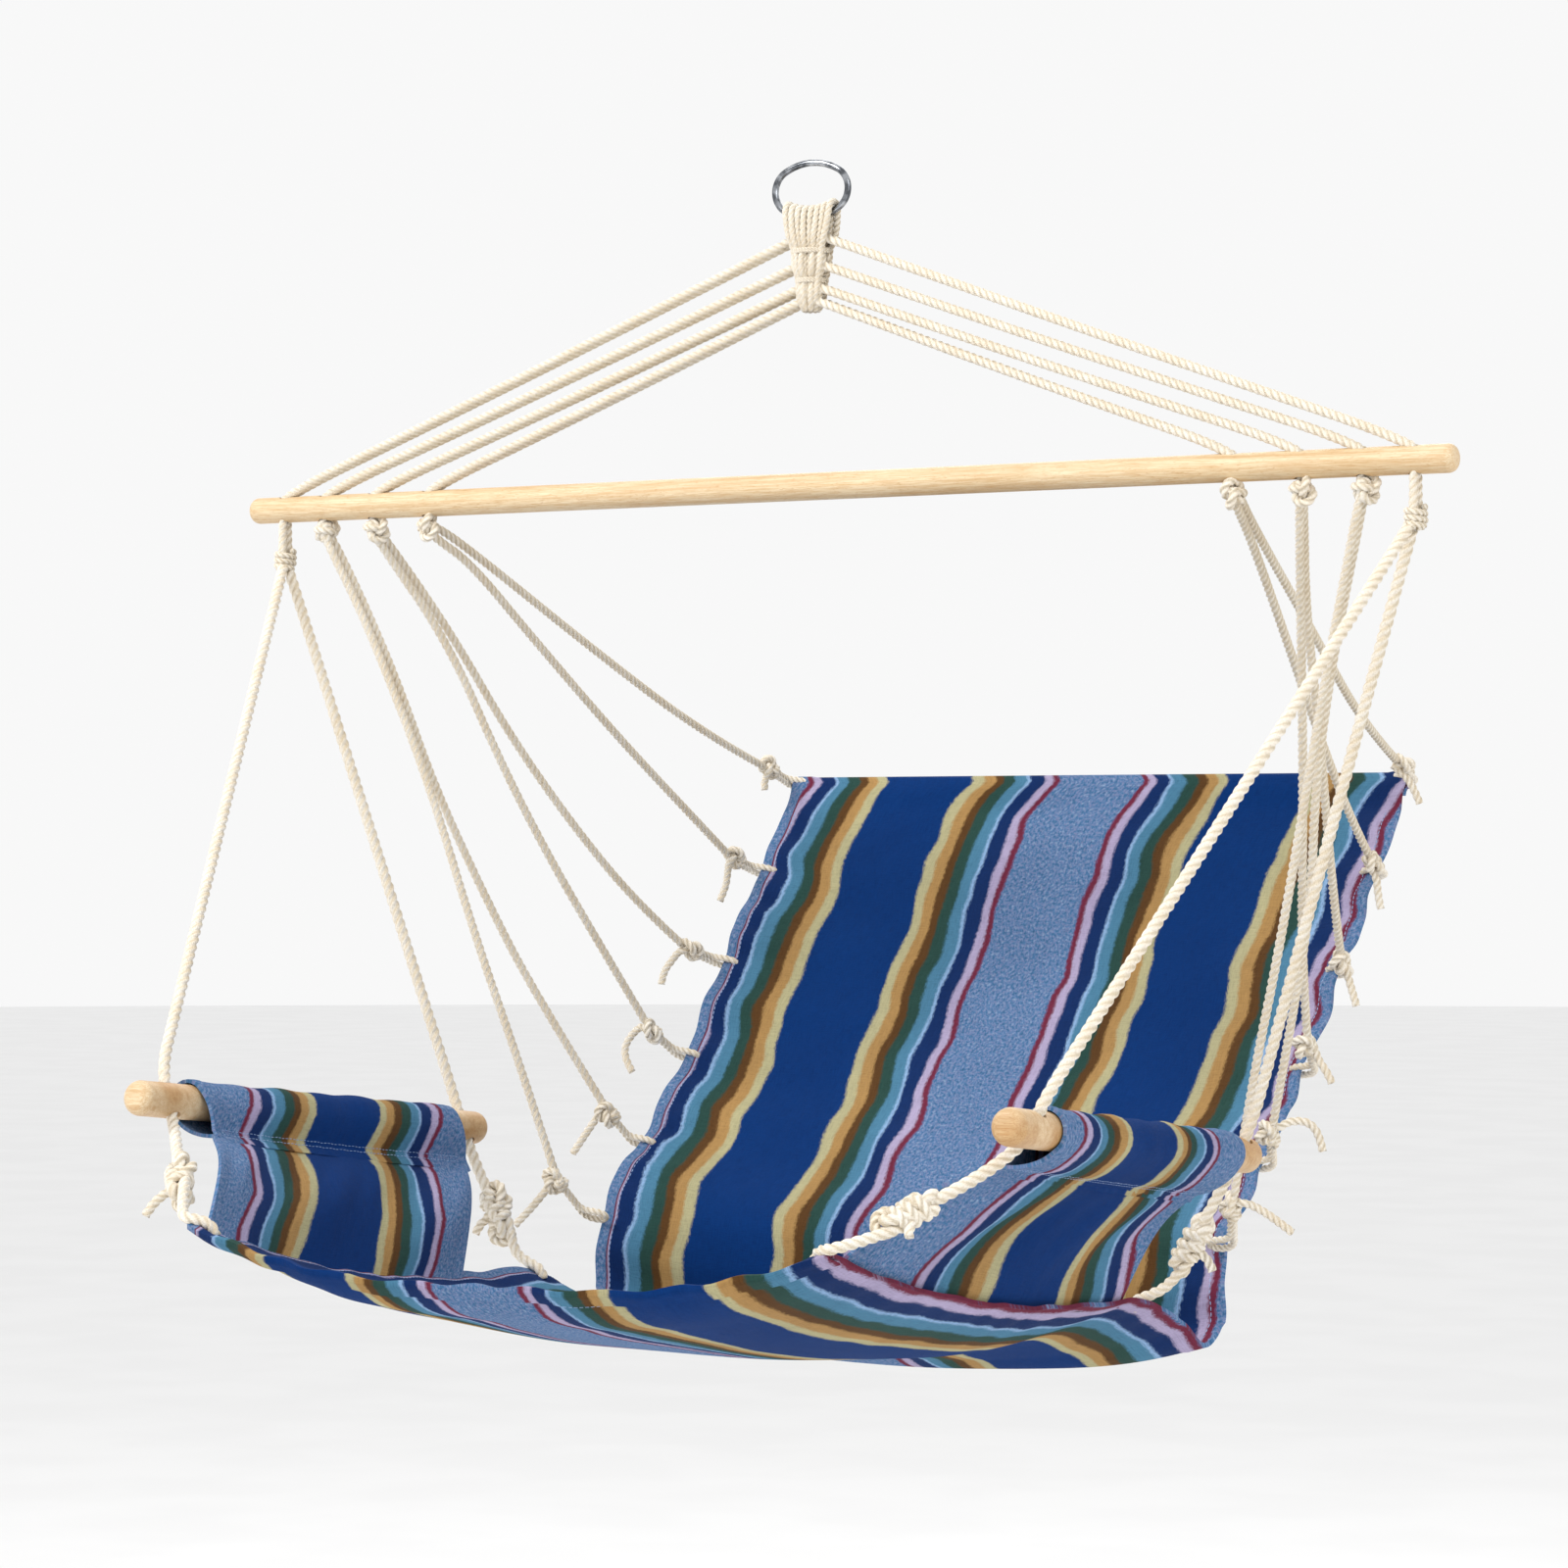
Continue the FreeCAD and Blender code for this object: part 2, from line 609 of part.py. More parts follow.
for side_name, side in SIDES:
    edge_knots = []
    for number, (hole, middle_points, knot, eye, tail) in enumerate(BACK_CORDS, start=1):
        top = Vector(HOLES[hole - 1], 0, ROCK_AXIS_Z)
        route = [Vector(*point) + SEAT_SHIFT for point in middle_points]
        above_or_below = 1 if number % 2 else -1
        step = Vector(1, 0, 0).cross(route[0] - top).normalize() * (PAIR_STEP * above_or_below)
        knot_place, eye_place = [Vector(*point) + SEAT_SHIFT for point in (knot, eye)]
        first = towards(top, route[0], size("knot_reach")) + step
        last = towards(knot_place, route[-1], EDGE_KNOT + 0.5)
        label = f"back_cord_{side_name}_{number}"
        feature(label, cord(mirrored([first] + route + [last], side), size("cord_diameter"), label))
        knot_place, eye_place, tail_end = mirrored([knot_place, eye_place, knot_place + Vector(*tail)], side)
        ends = [towards(eye_place, knot_place, 3.2), tail_end]
        edge_knots.append(knot_with_ends(knot_place, EDGE_KNOT, ends, TAIL_CORD))
    feature("edge_knots_" + side_name, Part.makeCompound(edge_knots))

# ---------------------------------------------------------------------------
# Check and export
# ---------------------------------------------------------------------------

doc.recompute()
for obj in doc.Objects:
    if "Invalid" in obj.State or "Error" in obj.State:
        raise RuntimeError(f"{obj.Label} did not compute")
for obj in parts:
    if obj.Shape.isNull() or not obj.Shape.isValid():
        raise RuntimeError(f"{obj.Label} has no valid shape")

os.makedirs("parts", exist_ok=True)
for obj in parts:
    obj.Shape.exportStep(os.path.join("parts", obj.Label + ".step"))
print(f"{len(parts)} sub-parts written")
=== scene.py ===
import math

import bpy
import numpy as np
from mathutils import Matrix, Vector


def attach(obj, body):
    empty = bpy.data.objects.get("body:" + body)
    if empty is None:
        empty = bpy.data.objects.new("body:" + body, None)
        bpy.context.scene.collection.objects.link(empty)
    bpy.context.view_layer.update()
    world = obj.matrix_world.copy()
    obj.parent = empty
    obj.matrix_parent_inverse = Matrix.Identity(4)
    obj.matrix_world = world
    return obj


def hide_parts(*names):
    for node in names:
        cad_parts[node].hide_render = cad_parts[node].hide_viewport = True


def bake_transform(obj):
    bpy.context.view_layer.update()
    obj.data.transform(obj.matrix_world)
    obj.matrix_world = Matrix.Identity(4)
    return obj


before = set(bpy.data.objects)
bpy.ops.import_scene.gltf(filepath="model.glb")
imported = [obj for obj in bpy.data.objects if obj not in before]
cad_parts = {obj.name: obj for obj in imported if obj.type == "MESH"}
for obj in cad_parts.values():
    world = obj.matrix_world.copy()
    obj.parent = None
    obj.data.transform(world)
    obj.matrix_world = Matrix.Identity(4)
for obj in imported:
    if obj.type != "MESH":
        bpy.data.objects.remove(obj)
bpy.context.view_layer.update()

MM = 0.001


def mm(x, y, z):
    return Vector((x, y, z)) * MM


# ---------------------------------------------------------------------------
# Camera, light and floor
# ---------------------------------------------------------------------------

AZIMUTH, ELEVATION = math.radians(30.0), math.radians(-0.8)
CAMERA_DISTANCE = 3.4
LENS_MM = 107.6
VIEW_RIGHT = Vector((math.cos(AZIMUTH), math.sin(AZIMUTH), 0))
VIEW_BACK = Vector((math.sin(AZIMUTH) * math.cos(ELEVATION),
                    -math.cos(AZIMUTH) * math.cos(ELEVATION), math.sin(ELEVATION)))
LOOK_AT = Vector((0, 0, -0.449)) - 0.020 * VIEW_RIGHT


def aim(obj, place, target):
    obj.location = place
    obj.rotation_euler = (Vector(target) - Vector(place)).to_track_quat("-Z", "Y").to_euler()


camera_data = bpy.data.cameras.new("camera")
camera_data.lens = LENS_MM
camera = bpy.data.objects.new("camera", camera_data)
bpy.context.scene.collection.objects.link(camera)
aim(camera, LOOK_AT + VIEW_BACK * CAMERA_DISTANCE, LOOK_AT)
bpy.context.scene.camera = camera


def softbox(name, place, watts, width, colour=(1, 1, 1)):
    light = bpy.data.lights.new(name, "AREA")
    light.energy = watts
    light.size = width
    light.color = colour
    box = bpy.data.objects.new(name, light)
    bpy.context.scene.collection.objects.link(box)
    aim(box, place, (0, 0, -0.55))


softbox("key_light", (-1.5, -2.7, 2.3), 108, 1.5, (1.0, 0.985, 0.96))
softbox("fill_light", (3.4, -1.8, 0.9), 38, 2.4, (0.96, 0.98, 1.0))
softbox("back_light", (-1.2, 3.0, 2.0), 30, 2.2)
bpy.context.scene.view_settings.view_transform = "Standard"
world = bpy.data.worlds.new("studio")
bpy.context.scene.world = world
world.use_nodes = True
world.node_tree.nodes["Background"].inputs["Color"].default_value = (1.0, 1.0, 1.0, 1)
world.node_tree.nodes["Background"].inputs["Strength"].default_value = 0.94

# ---------------------------------------------------------------------------
# Materials
# ---------------------------------------------------------------------------


def srgb(text):
    """A hex colour as linear values."""
    parts = [int(text[i:i + 2], 16) / 255 for i in (0, 2, 4)]
    return tuple(c / 12.92 if c < 0.04045 else ((c + 0.055) / 1.055) ** 2.4 for c in parts) + (1,)


class Finish:
    """A material's node tree with short ways to add to it."""

    def __init__(self, name, roughness, **shader_values):
        self.material = bpy.data.materials.new(name)
        self.material.use_nodes = True
        self.tree = self.material.node_tree
        self.shader = self.tree.nodes["Principled BSDF"]
        self.shader.inputs["Roughness"].default_value = roughness
        for socket, value in shader_values.items():
            self.shader.inputs[socket.replace("_", " ")].default_value = value

    def add(self, kind, inputs=(), **settings):
        node = self.tree.nodes.new("ShaderNode" + kind)
        for key, value in settings.items():
            setattr(node, key, value)
        for socket, value in dict(inputs).items():
            if isinstance(value, bpy.types.NodeSocket):
                self.tree.links.new(value, node.inputs[socket])
            else:
                node.inputs[socket].default_value = value
        return node

    def maths(self, operation, first, second=0.0, third=0.0):
        inputs = {0: first, 1: second, 2: third}
        return self.add("Math", inputs, operation=operation).outputs[0]

    def coordinates(self, which):
        return self.add("TexCoord").outputs[which]

    def stretch(self, vector, scale):
        return self.add("Mapping", {"Vector": vector, "Scale": scale}).outputs[0]

    def noise(self, vector, scale, detail=2.0, roughness=0.5):
        inputs = {"Vector": vector, "Scale": scale, "Detail": detail, "Roughness": roughness}
        return self.add("TexNoise", inputs).outputs[0]

    def ramp(self, factor, stops):
        node = self.add("ValToRGB", {0: factor})
        band = node.color_ramp
        while len(band.elements) < len(stops):
            band.elements.new(0.5)
        for element, (place, _) in zip(band.elements, stops):
            element.position = place
        for element, (_, colour) in zip(band.elements, stops):
            element.color = colour
        return node.outputs[0]

    def mix(self, factor, first, second, how="MIX"):
        node = self.add("Mix", data_type="RGBA", blend_type=how)
        for socket, value in ((0, factor), (6, first), (7, second)):
            if isinstance(value, bpy.types.NodeSocket):
                self.tree.links.new(value, node.inputs[socket])
            else:
                node.inputs[socket].default_value = value
        return node.outputs[2]

    def bump(self, height, strength, distance, under=None):
        inputs = {"Height": height, "Strength": strength, "Distance": distance}
        if under is not None:
            inputs["Normal"] = under
        return self.add("Bump", inputs).outputs[0]

    def finish(self, colour, normal=None, roughness=None):
        self.tree.links.new(colour, self.shader.inputs["Base Color"])
        if normal is not None:
            self.tree.links.new(normal, self.shader.inputs["Normal"])
        if roughness is not None:
            self.tree.links.new(roughness, self.shader.inputs["Roughness"])
        return self.material


# The pattern, in millimetres: the stripes mirror about the middles of the heather and royal bands.
HALF_REPEAT = 153.0
HEATHER_HALF = 37.2
STRIPE_SOFTNESS = 1.2
THREAD_PITCH = 1.1
# Distance from the middle of the pale heather band to each colour's outer edge, and the colour.
STRIPES = [
    (37.5, "5f7aa8"),
    (43.0, "6e2b40"),
    (50.5, "aa9fbe"),
    (64.0, "132d5e"),
    (67.0, "8bacd2"),
    (77.5, "4b7c99"),
    (88.0, "2a4842"),
    (96.0, "593d22"),
    (106.0, "a88452"),
    (115.0, "b0aa84"),
    (HALF_REPEAT, "08326d"),
]


def striped_cotton():
    """Woven stripes with frayed edges, a speckled heather band, and a plain weave in the bump."""
    cloth = Finish("striped_cotton", 0.95, Sheen_Weight=0.03, Sheen_Roughness=0.4, Specular_IOR_Level=0.06)
    uv = cloth.coordinates("UV")
    split = cloth.add("SeparateXYZ", {0: uv})
    across, along = split.outputs[0], split.outputs[1]
    fringe = cloth.noise(cloth.stretch(uv, (900, 320, 1)), 1.0, 2.0)
    wander = cloth.noise(uv, 26.0, 1.0)
    shifted = cloth.maths("MULTIPLY_ADD", fringe, 0.0046, across)
    shifted = cloth.maths("MULTIPLY_ADD", wander, 0.0100, shifted)
    shifted = cloth.maths("SUBTRACT", shifted, 0.0073)
    folded = cloth.maths("PINGPONG", shifted, HALF_REPEAT * MM)
    place = cloth.maths("DIVIDE", folded, HALF_REPEAT * MM)
    stops = []
    inner = 0.0
    for outer, colour in STRIPES:
        stops.append(((inner + STRIPE_SOFTNESS) / HALF_REPEAT, srgb(colour)))
        stops.append(((outer - STRIPE_SOFTNESS) / HALF_REPEAT, srgb(colour)))
        inner = outer
    stripes = cloth.ramp(place, stops)

    speckle = cloth.noise(cloth.stretch(uv, (430, 340, 1)), 1.0, 4.0, 0.75)
    heather = cloth.ramp(speckle, [(0.35, srgb("3a5f88")), (0.44, srgb("466f98")), (0.495, srgb("587fa8")),
                                   (0.55, srgb("7c7ba2")), (0.60, srgb("7093b4")), (0.71, srgb("98aec6"))])
    in_heather = cloth.maths("LESS_THAN", folded, HEATHER_HALF * MM)
    colour = cloth.mix(in_heather, stripes, heather)
    threads = cloth.noise(cloth.stretch(uv, (1300, 90, 1)), 1.0, 2.0, 0.6)
    picks = cloth.noise(cloth.stretch(uv, (110, 1300, 1)), 1.0, 2.0, 0.6)
    both = cloth.maths("ADD", threads, picks)
    tone = cloth.ramp(cloth.maths("MULTIPLY", both, 0.5), [
        (0.30, (0.62, 0.62, 0.64, 1)), (0.5, (0.97, 0.97, 0.97, 1)), (0.72, (1.22, 1.2, 1.2, 1))])
    colour = cloth.mix(0.75, colour, tone, "MULTIPLY")
    wear = cloth.noise(uv, 9.0, 4.0, 0.6)
    fade = cloth.ramp(wear, [(0.35, (0.86, 0.86, 0.88, 1)), (0.65, (1.10, 1.09, 1.08, 1))])
    colour = cloth.mix(0.6, colour, fade, "MULTIPLY")

    waves_a_metre = 2 * math.pi / (THREAD_PITCH * MM)
    warp = cloth.maths("SINE", cloth.maths("MULTIPLY", across, waves_a_metre))
    weft = cloth.maths("SINE", cloth.maths("MULTIPLY", along, waves_a_metre))
    uneven = cloth.maths("MULTIPLY", both, 0.8)
    weave = cloth.maths("MULTIPLY_ADD", cloth.maths("MULTIPLY", warp, weft), 0.5, uneven)
    fine = cloth.bump(weave, 0.55, 0.0006)
    soft_folds = cloth.noise(cloth.stretch(uv, (60, 22, 1)), 1.0, 3.0, 0.55)
    return cloth.finish(colour, cloth.bump(soft_folds, 0.35, 0.004, fine))


STRANDS = 3
YARNS_ROUND = 21


def cotton_cord():
    """Cream cotton, its yarns lying across the strands, with painted shade between the strands and between
    the yarns.
    """
    cord = Finish("cotton_cord", 0.88, Sheen_Weight=0.15, Sheen_Roughness=0.6, Specular_IOR_Level=0.2)
    uv = cord.coordinates("UV")
    split = cord.add("SeparateXYZ", {0: uv})
    around, turns = split.outputs[0], split.outputs[1]
    lobe = cord.maths("COSINE", cord.maths("MULTIPLY", around, STRANDS * 2 * math.pi))
    lobe = cord.maths("MULTIPLY_ADD", lobe, 0.5, 0.5)
    yarn_angle = cord.maths("MULTIPLY", cord.maths("ADD", around, turns), 2 * math.pi * YARNS_ROUND)
    yarns = cord.maths("MULTIPLY_ADD", cord.maths("SINE", yarn_angle), 0.5, 0.5)
    fluff = cord.noise(cord.coordinates("Object"), 900.0, 3.0, 0.65)
    patches = cord.noise(cord.coordinates("Object"), 45.0, 3.0, 0.5)
    # Painted shade: the colour darkens in the grooves between the strands and between the yarns.
    depth = cord.maths("MULTIPLY_ADD", yarns, 0.22, cord.maths("MULTIPLY", lobe, 0.78))
    colour = cord.ramp(depth, [(0.0, srgb("c9bda6")), (0.30, srgb("e2d8c6")), (0.62, srgb("f1eadd")),
                               (1.0, srgb("f8f3ea"))])
    tint = cord.ramp(patches, [(0.35, srgb("f4ecdf")), (0.65, srgb("ffffff"))])
    colour = cord.mix(0.55, colour, tint, "MULTIPLY")
    specks = cord.ramp(fluff, [(0.38, srgb("c8bba0")), (0.55, srgb("ffffff"))])
    colour = cord.mix(0.35, colour, specks, "MULTIPLY")
    height = cord.maths("MULTIPLY_ADD", yarns, 0.6, fluff)
    return cord.finish(colour, cord.bump(height, 0.5, 0.0007))


def pale_wood(name, tone):
    """Pale beech, its grain along the rod, with flecks; tone darkens it."""
    wood = Finish(name, 0.48, Specular_IOR_Level=0.4, Coat_Weight=0.12, Coat_Roughness=0.35)
    place = wood.coordinates("Object")
    bent = wood.noise(wood.stretch(place, (1.2, 5, 5)), 1.0, 2.0)
    sideways, upwards = wood.maths("MULTIPLY", bent, 0.018), wood.maths("MULTIPLY", bent, 0.03)
    sway = wood.add("CombineXYZ", {1: sideways, 2: upwards}).outputs[0]
    swayed = wood.add("VectorMath", {0: place, 1: sway}, operation="ADD").outputs[0]
    rings = wood.noise(wood.stretch(swayed, (5, 260, 260)), 1.0, 3.0, 0.6)
    fibres = wood.noise(wood.stretch(swayed, (55, 1500, 1500)), 1.0, 2.0, 0.7)
    flecks = wood.noise(wood.stretch(place, (240, 1300, 1300)), 1.0, 1.0)
    colour = wood.ramp(rings, [(0.28, srgb("cbad84")), (0.46, srgb("d9c29e")), (0.60, srgb("e3d1b0")),
                               (0.75, srgb("dabd92"))])
    dark_fibres = wood.ramp(fibres, [(0.40, (0.55, 0.55, 0.55, 1)), (0.56, (0, 0, 0, 1))])
    colour = wood.mix(dark_fibres, colour, srgb("c39a67"))
    dark_flecks = wood.ramp(flecks, [(0.62, (0, 0, 0, 1)), (0.70, (0.45, 0.45, 0.45, 1))])
    colour = wood.mix(dark_flecks, colour, srgb("b98c5a"))
    patches = wood.noise(wood.stretch(place, (9, 22, 22)), 1.0, 2.0)
    shade = wood.ramp(patches, [(0.35, srgb(tone)), (0.65, srgb("ffffff"))])
    colour = wood.mix(1.0, colour, shade, "MULTIPLY")
    grain = wood.maths("MULTIPLY_ADD", rings, 0.5, fibres)
    rough = wood.maths("MULTIPLY_ADD", fibres, 0.18, 0.40)
    return wood.finish(colour, wood.bump(grain, 0.25, 0.0004), rough)


def polished_steel():
    steel = Finish("polished_steel", 0.12, Metallic=1.0)
    place = steel.coordinates("Object")
    # Painted reflections: the steel's colour is darkened in blotches to stand in for dark reflections, which
    # the white studio doesn't give it.
    painted_dark_reflections = steel.noise(place, 140.0, 3.0)
    scratches = steel.noise(steel.stretch(place, (300, 2200, 900)), 1.0, 2.0, 0.7)
    colour = steel.ramp(painted_dark_reflections, [(0.40, srgb("5f6267")), (0.60, srgb("a9acb1"))])
    rough = steel.maths("MULTIPLY_ADD", scratches, 0.22, 0.05)
    return steel.finish(colour, steel.bump(scratches, 0.08, 0.0002), rough)


def stitch_thread():
    thread = Finish("stitch_thread", 0.7, Sheen_Weight=0.1)
    tint = thread.noise(thread.coordinates("Object"), 500.0, 2.0)
    colour = thread.ramp(tint, [(0.3, srgb("6f8fc0")), (0.7, srgb("a9bfdf"))])
    return thread.finish(colour, thread.bump(tint, 0.3, 0.0002))


STRIPED = striped_cotton()
CORD = cotton_cord()
WOOD = pale_wood("pale_wood", "f6f0e6")
# The armrest rods take the same wood in a darker tone.
DARKER_WOOD = pale_wood("darker_wood", "dcc3a2")
STEEL = polished_steel()
THREAD = stitch_thread()

# ---------------------------------------------------------------------------
# Ways of working
# ---------------------------------------------------------------------------


def nothing_selected():
    if bpy.context.object is not None and bpy.context.object.mode != "OBJECT":
        bpy.ops.object.mode_set(mode="OBJECT")
    bpy.ops.object.select_all(action="DESELECT")


def only(obj):
    nothing_selected()
    obj.select_set(True)
    bpy.context.view_layer.objects.active = obj
    return obj


def apply_modifiers(obj):
    only(obj)
    for name in [modifier.name for modifier in obj.modifiers]:
        bpy.ops.object.modifier_apply(modifier=name)


def faces_outwards(obj, close_ends=False):
    only(obj)
    bpy.ops.object.mode_set(mode="EDIT")
    bpy.ops.mesh.select_all(action="SELECT")
    if close_ends:
        bpy.ops.mesh.fill_holes(sides=0)
    bpy.ops.mesh.normals_make_consistent(inside=False)
    bpy.ops.object.mode_set(mode="OBJECT")


def joined(pieces, name):
    """Several meshes made one piece."""
    only(pieces[0])
    for piece in pieces[1:]:
        piece.select_set(True)
    if len(pieces) > 1:
        bpy.ops.object.join()
    pieces[0].name = name
    pieces[0].data.name = name
    return pieces[0]


def coated(obj, material):
    obj.data.materials.clear()
    obj.data.materials.append(material)
    return obj


def points_of(mesh):
    flat = np.zeros(len(mesh.vertices) * 3)
    mesh.vertices.foreach_get("co", flat)
    return flat.reshape(-1, 3)


def place_points(mesh, points):
    mesh.vertices.foreach_set("co", np.asarray(points, float).ravel())
    mesh.update()


def towards(start, end, distance):
    return start + (end - start).normalized() * distance


def mirrored(points, side):
    return [Vector((point.x * side, point.y, point.z)) for point in points]


SIDES = [("left", -1), ("right", 1)]

# ---------------------------------------------------------------------------
# Twisted cord
# ---------------------------------------------------------------------------

LOBE_POINTS = 18
PITCH_IN_DIAMETERS = 2.6
RINGS_A_TURN = 10


def route_curve(points):
    """A smooth route that has these points as its control points."""
    curve = bpy.data.curves.new("route", "CURVE")
    curve.dimensions = "3D"
    curve.resolution_u = 24
    curve.twist_mode = "MINIMUM"
    spline = curve.splines.new("NURBS")
    spline.points.add(len(points) - 1)
    for control, point in zip(spline.points, points):
        control.co = (*point, 1)
    spline.order_u = 3
    spline.use_endpoint_u = True
    route = bpy.data.objects.new("route", curve)
    bpy.context.scene.collection.objects.link(route)
    return route


def centre_points(route):
    mesh = bpy.data.meshes.new_from_object(route)
    line = points_of(mesh).copy()
    bpy.data.meshes.remove(mesh)
    return line


def line_length(line):
    return float(np.linalg.norm(np.diff(line, axis=0), axis=1).sum())


def twisted_cord(points, diameter, name="cord"):
    """Three strands laid round each other along a route. Returns the mesh and its centre points."""
    route = route_curve(points)
    line = centre_points(route)
    length = line_length(line)
    pitch = PITCH_IN_DIAMETERS * diameter
    nothing_selected()
    bpy.ops.mesh.primitive_circle_add(vertices=LOBE_POINTS, radius=diameter / 2)
    cord = bpy.context.object
    ring = points_of(cord.data)
    angle = np.arctan2(ring[:, 1], ring[:, 0])
    lobe_angle = 2 * math.pi / STRANDS
    off_lobe = (angle + lobe_angle / 2) % lobe_angle - lobe_angle / 2
    place_points(cord.data, ring * (0.30 + 0.74 * np.cos(off_lobe))[:, None])
    screw = cord.modifiers.new("lay", "SCREW")
    screw.angle = 2 * math.pi * length / pitch
    screw.screw_offset = length
    screw.steps = max(4, round(RINGS_A_TURN * length / pitch))
    screw.render_steps = screw.steps
    screw.use_smooth_shade = True
    apply_modifiers(cord)
    lay_pattern(cord.data, pitch)
    bend = cord.modifiers.new("route", "CURVE")
    bend.object = route
    bend.deform_axis = "POS_Z"
    apply_modifiers(cord)
    bpy.data.curves.remove(route.data)
    faces_outwards(cord, close_ends=True)
    cord.name = name
    return cord, line


def lay_pattern(mesh, pitch):
    """Pattern coordinates: once round the cord across, one for each turn of the lay along."""
    points = points_of(mesh)
    corners = np.zeros(len(mesh.loops), int)
    mesh.loops.foreach_get("vertex_index", corners)
    slots = corners % LOBE_POINTS
    faces = slots.reshape(-1, 4)
    wraps = (faces.max(axis=1) - faces.min(axis=1)) > LOBE_POINTS / 2
    around = faces / LOBE_POINTS + (wraps[:, None] & (faces < LOBE_POINTS / 2))
    pattern = np.stack([around.ravel(), points[corners, 2] / pitch], axis=1)
    layer = mesh.uv_layers.new(name="lay") if not mesh.uv_layers else mesh.uv_layers[0]
    layer.data.foreach_set("uv", pattern.ravel())


def overhand(centre, forward, side_way, diameter, tight=0.62, turn=0.0):
    """Control points of an overhand knot tied in a cord that runs forward through centre."""
    forward = forward.normalized()
    across = forward.cross(side_way).normalized()
    up = Matrix.Rotation(turn, 3, forward) @ across
    out = forward.cross(up)
    big, small, thick = 1.25 * tight, 0.75 * tight, 0.85 * tight
    opening = 0.36
    steps = 17
    points = []
    for step in range(steps):
        swing = opening + (2 * math.pi - 2 * opening) * step / (steps - 1)
        reach = big + small * math.cos(3 * swing)
        along = reach * math.sin(2 * swing)
        height = reach * math.cos(2 * swing) - 0.35 * tight
        depth = thick * math.sin(3 * swing)
        points.append(centre + (forward * along + up * height + out * depth) * diameter * 1.25)
    return points


def wound(low, high, first, second, turns, steps, start=0.0):
    """Points of a cord wound round the line from low to high. first and second span a turn."""
    points = []
    for step in range(steps + 1):
        share = step / steps
        swing = 2 * math.pi * turns * share + start
        points.append(low.lerp(high, share) + first * math.cos(swing) + second * math.sin(swing))
    return points


def laid_cord(route, diameter, name, body, node):
    """A twisted cord in place of a node."""
    cord, line = twisted_cord(route, diameter, name)
    coated(cord, CORD)
    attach(cord, body)
    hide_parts(node)


# ---------------------------------------------------------------------------
# Places shared with the design
# ---------------------------------------------------------------------------

BAR_Z = -233.0
ROCK_Z = -251.0
STEM_KNOT = mm(470, 0, -271)
HOLES = [470, 432, 386, 336]
CORD_D = 6.6 * MM
ARM_CORD_D = 8.4 * MM

# ---------------------------------------------------------------------------
# Suspension cords: pairs of cords from the crown to the bar
# ---------------------------------------------------------------------------

# Height and distance from the middle at which each pair leaves the crown.
CROWN_EXITS = [(-54.0, 16.8), (-73.5, 13.6), (-89.5, 10.6), (-99.0, 8.8)]

for side_name, side in SIDES:
    for number, (hole, (exit_z, exit_x)) in enumerate(zip(HOLES, CROWN_EXITS), start=1):
        for row_name, row in (("front", -1), ("back", 1)):
            start = mm(exit_x - 5.0, row * 3.0, exit_z + 1.5)
            landing = mm(hole - 6, row * 3.0, BAR_Z + 13.5)
            mouth = mm(hole, row * 1.4, BAR_Z + 7)
            third = start.lerp(landing, 0.35) + mm(0, row * 0.6, -1.2)
            most = start.lerp(landing, 0.72) + mm(0, row * 0.5, -1.0)
            route = mirrored([start, third, most, landing, mouth], side)
            laid_cord(route, CORD_D, f"suspension_{side_name}_{number}_{row_name}", "hanger",
                      f"suspension_cords_{side_name}_{number}")

# ---------------------------------------------------------------------------
# Stopper knots under the bar
# ---------------------------------------------------------------------------

COLLAR_RADIUS = 6.6

for side_name, side in SIDES:
    tied = []
    for index, hole in enumerate(HOLES[1:]):
        top = mm(hole * side, 0, BAR_Z - 4)
        centre = mm(hole * side, 0, ROCK_Z)
        down = Vector((0, 0, -1))
        knot = overhand(centre, down, Vector((1, 0, 0)), CORD_D, 0.62, 0.6 + 1.1 * index + 0.4 * side)
        end = mm(hole * side, -1.5, ROCK_Z - 8)
        tied.append(twisted_cord([top, top.lerp(knot[0], 0.6)] + knot + [end], CORD_D * 0.95)[0])
        collar = wound(centre + mm(0, 0, 3.4), centre + mm(0, 0, -1.2), mm(COLLAR_RADIUS, 0, 0),
                       mm(0, COLLAR_RADIUS, 0), 1.25, 14, 0.9 * index)
        tied.append(twisted_cord(collar, CORD_D * 0.85)[0])
    knots = coated(joined(tied, "stopper_knots_tied_" + side_name), CORD)
    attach(knots, "hanger")
    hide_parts("stopper_knots_" + side_name)

# ---------------------------------------------------------------------------
# Edge knots, loops and loose ends, then the back cords that they end
# ---------------------------------------------------------------------------

# Each back cord: its hole in the bar, the route between its knots, its edge knot, and the knot's eye.
BACK_CORDS = [
    (336, [(327, 48, -268), (309, 200, -341), (291, 330, -401)],
     (282, 424, -430), (282, 456, -440)),
    (336, [(327, 44, -276), (317, 119, -333), (302, 218, -407), (288, 310, -470)],
     (283, 366, -505), (281, 397, -513)),
    (386, [(360, 66, -328), (344, 126, -408), (323, 189, -481), (303, 249, -540)],
     (286, 300, -578), (280, 332, -587)),
    (386, [(359, 60, -335), (340, 107, -430), (322, 147, -502), (303, 188, -568)],
     (285, 240, -641), (278, 268, -660)),
    (432, [(411, 23.5, -308), (391, 40, -369), (370, 60, -450), (350, 98, -532), (325, 127, -605)],
     (284, 176, -704), (276, 196, -726)),
    (432, [(411, 16, -310), (391, 32, -372), (368, 51, -451), (337, 70, -571), (310, 86, -660)],
     (286, 104, -752), (276, 126, -779)),
]
# The two cords of a pair lie this far above and below its middle line.
PAIR_STEP = 3.8 * MM
# The eyelets lie this far inside the knots' eyes and behind them, on cloth that leans this much.
EYELET_INSET, EYELET_SINK = 15.0, 3.0
EYELET_LEAN = math.radians(48)

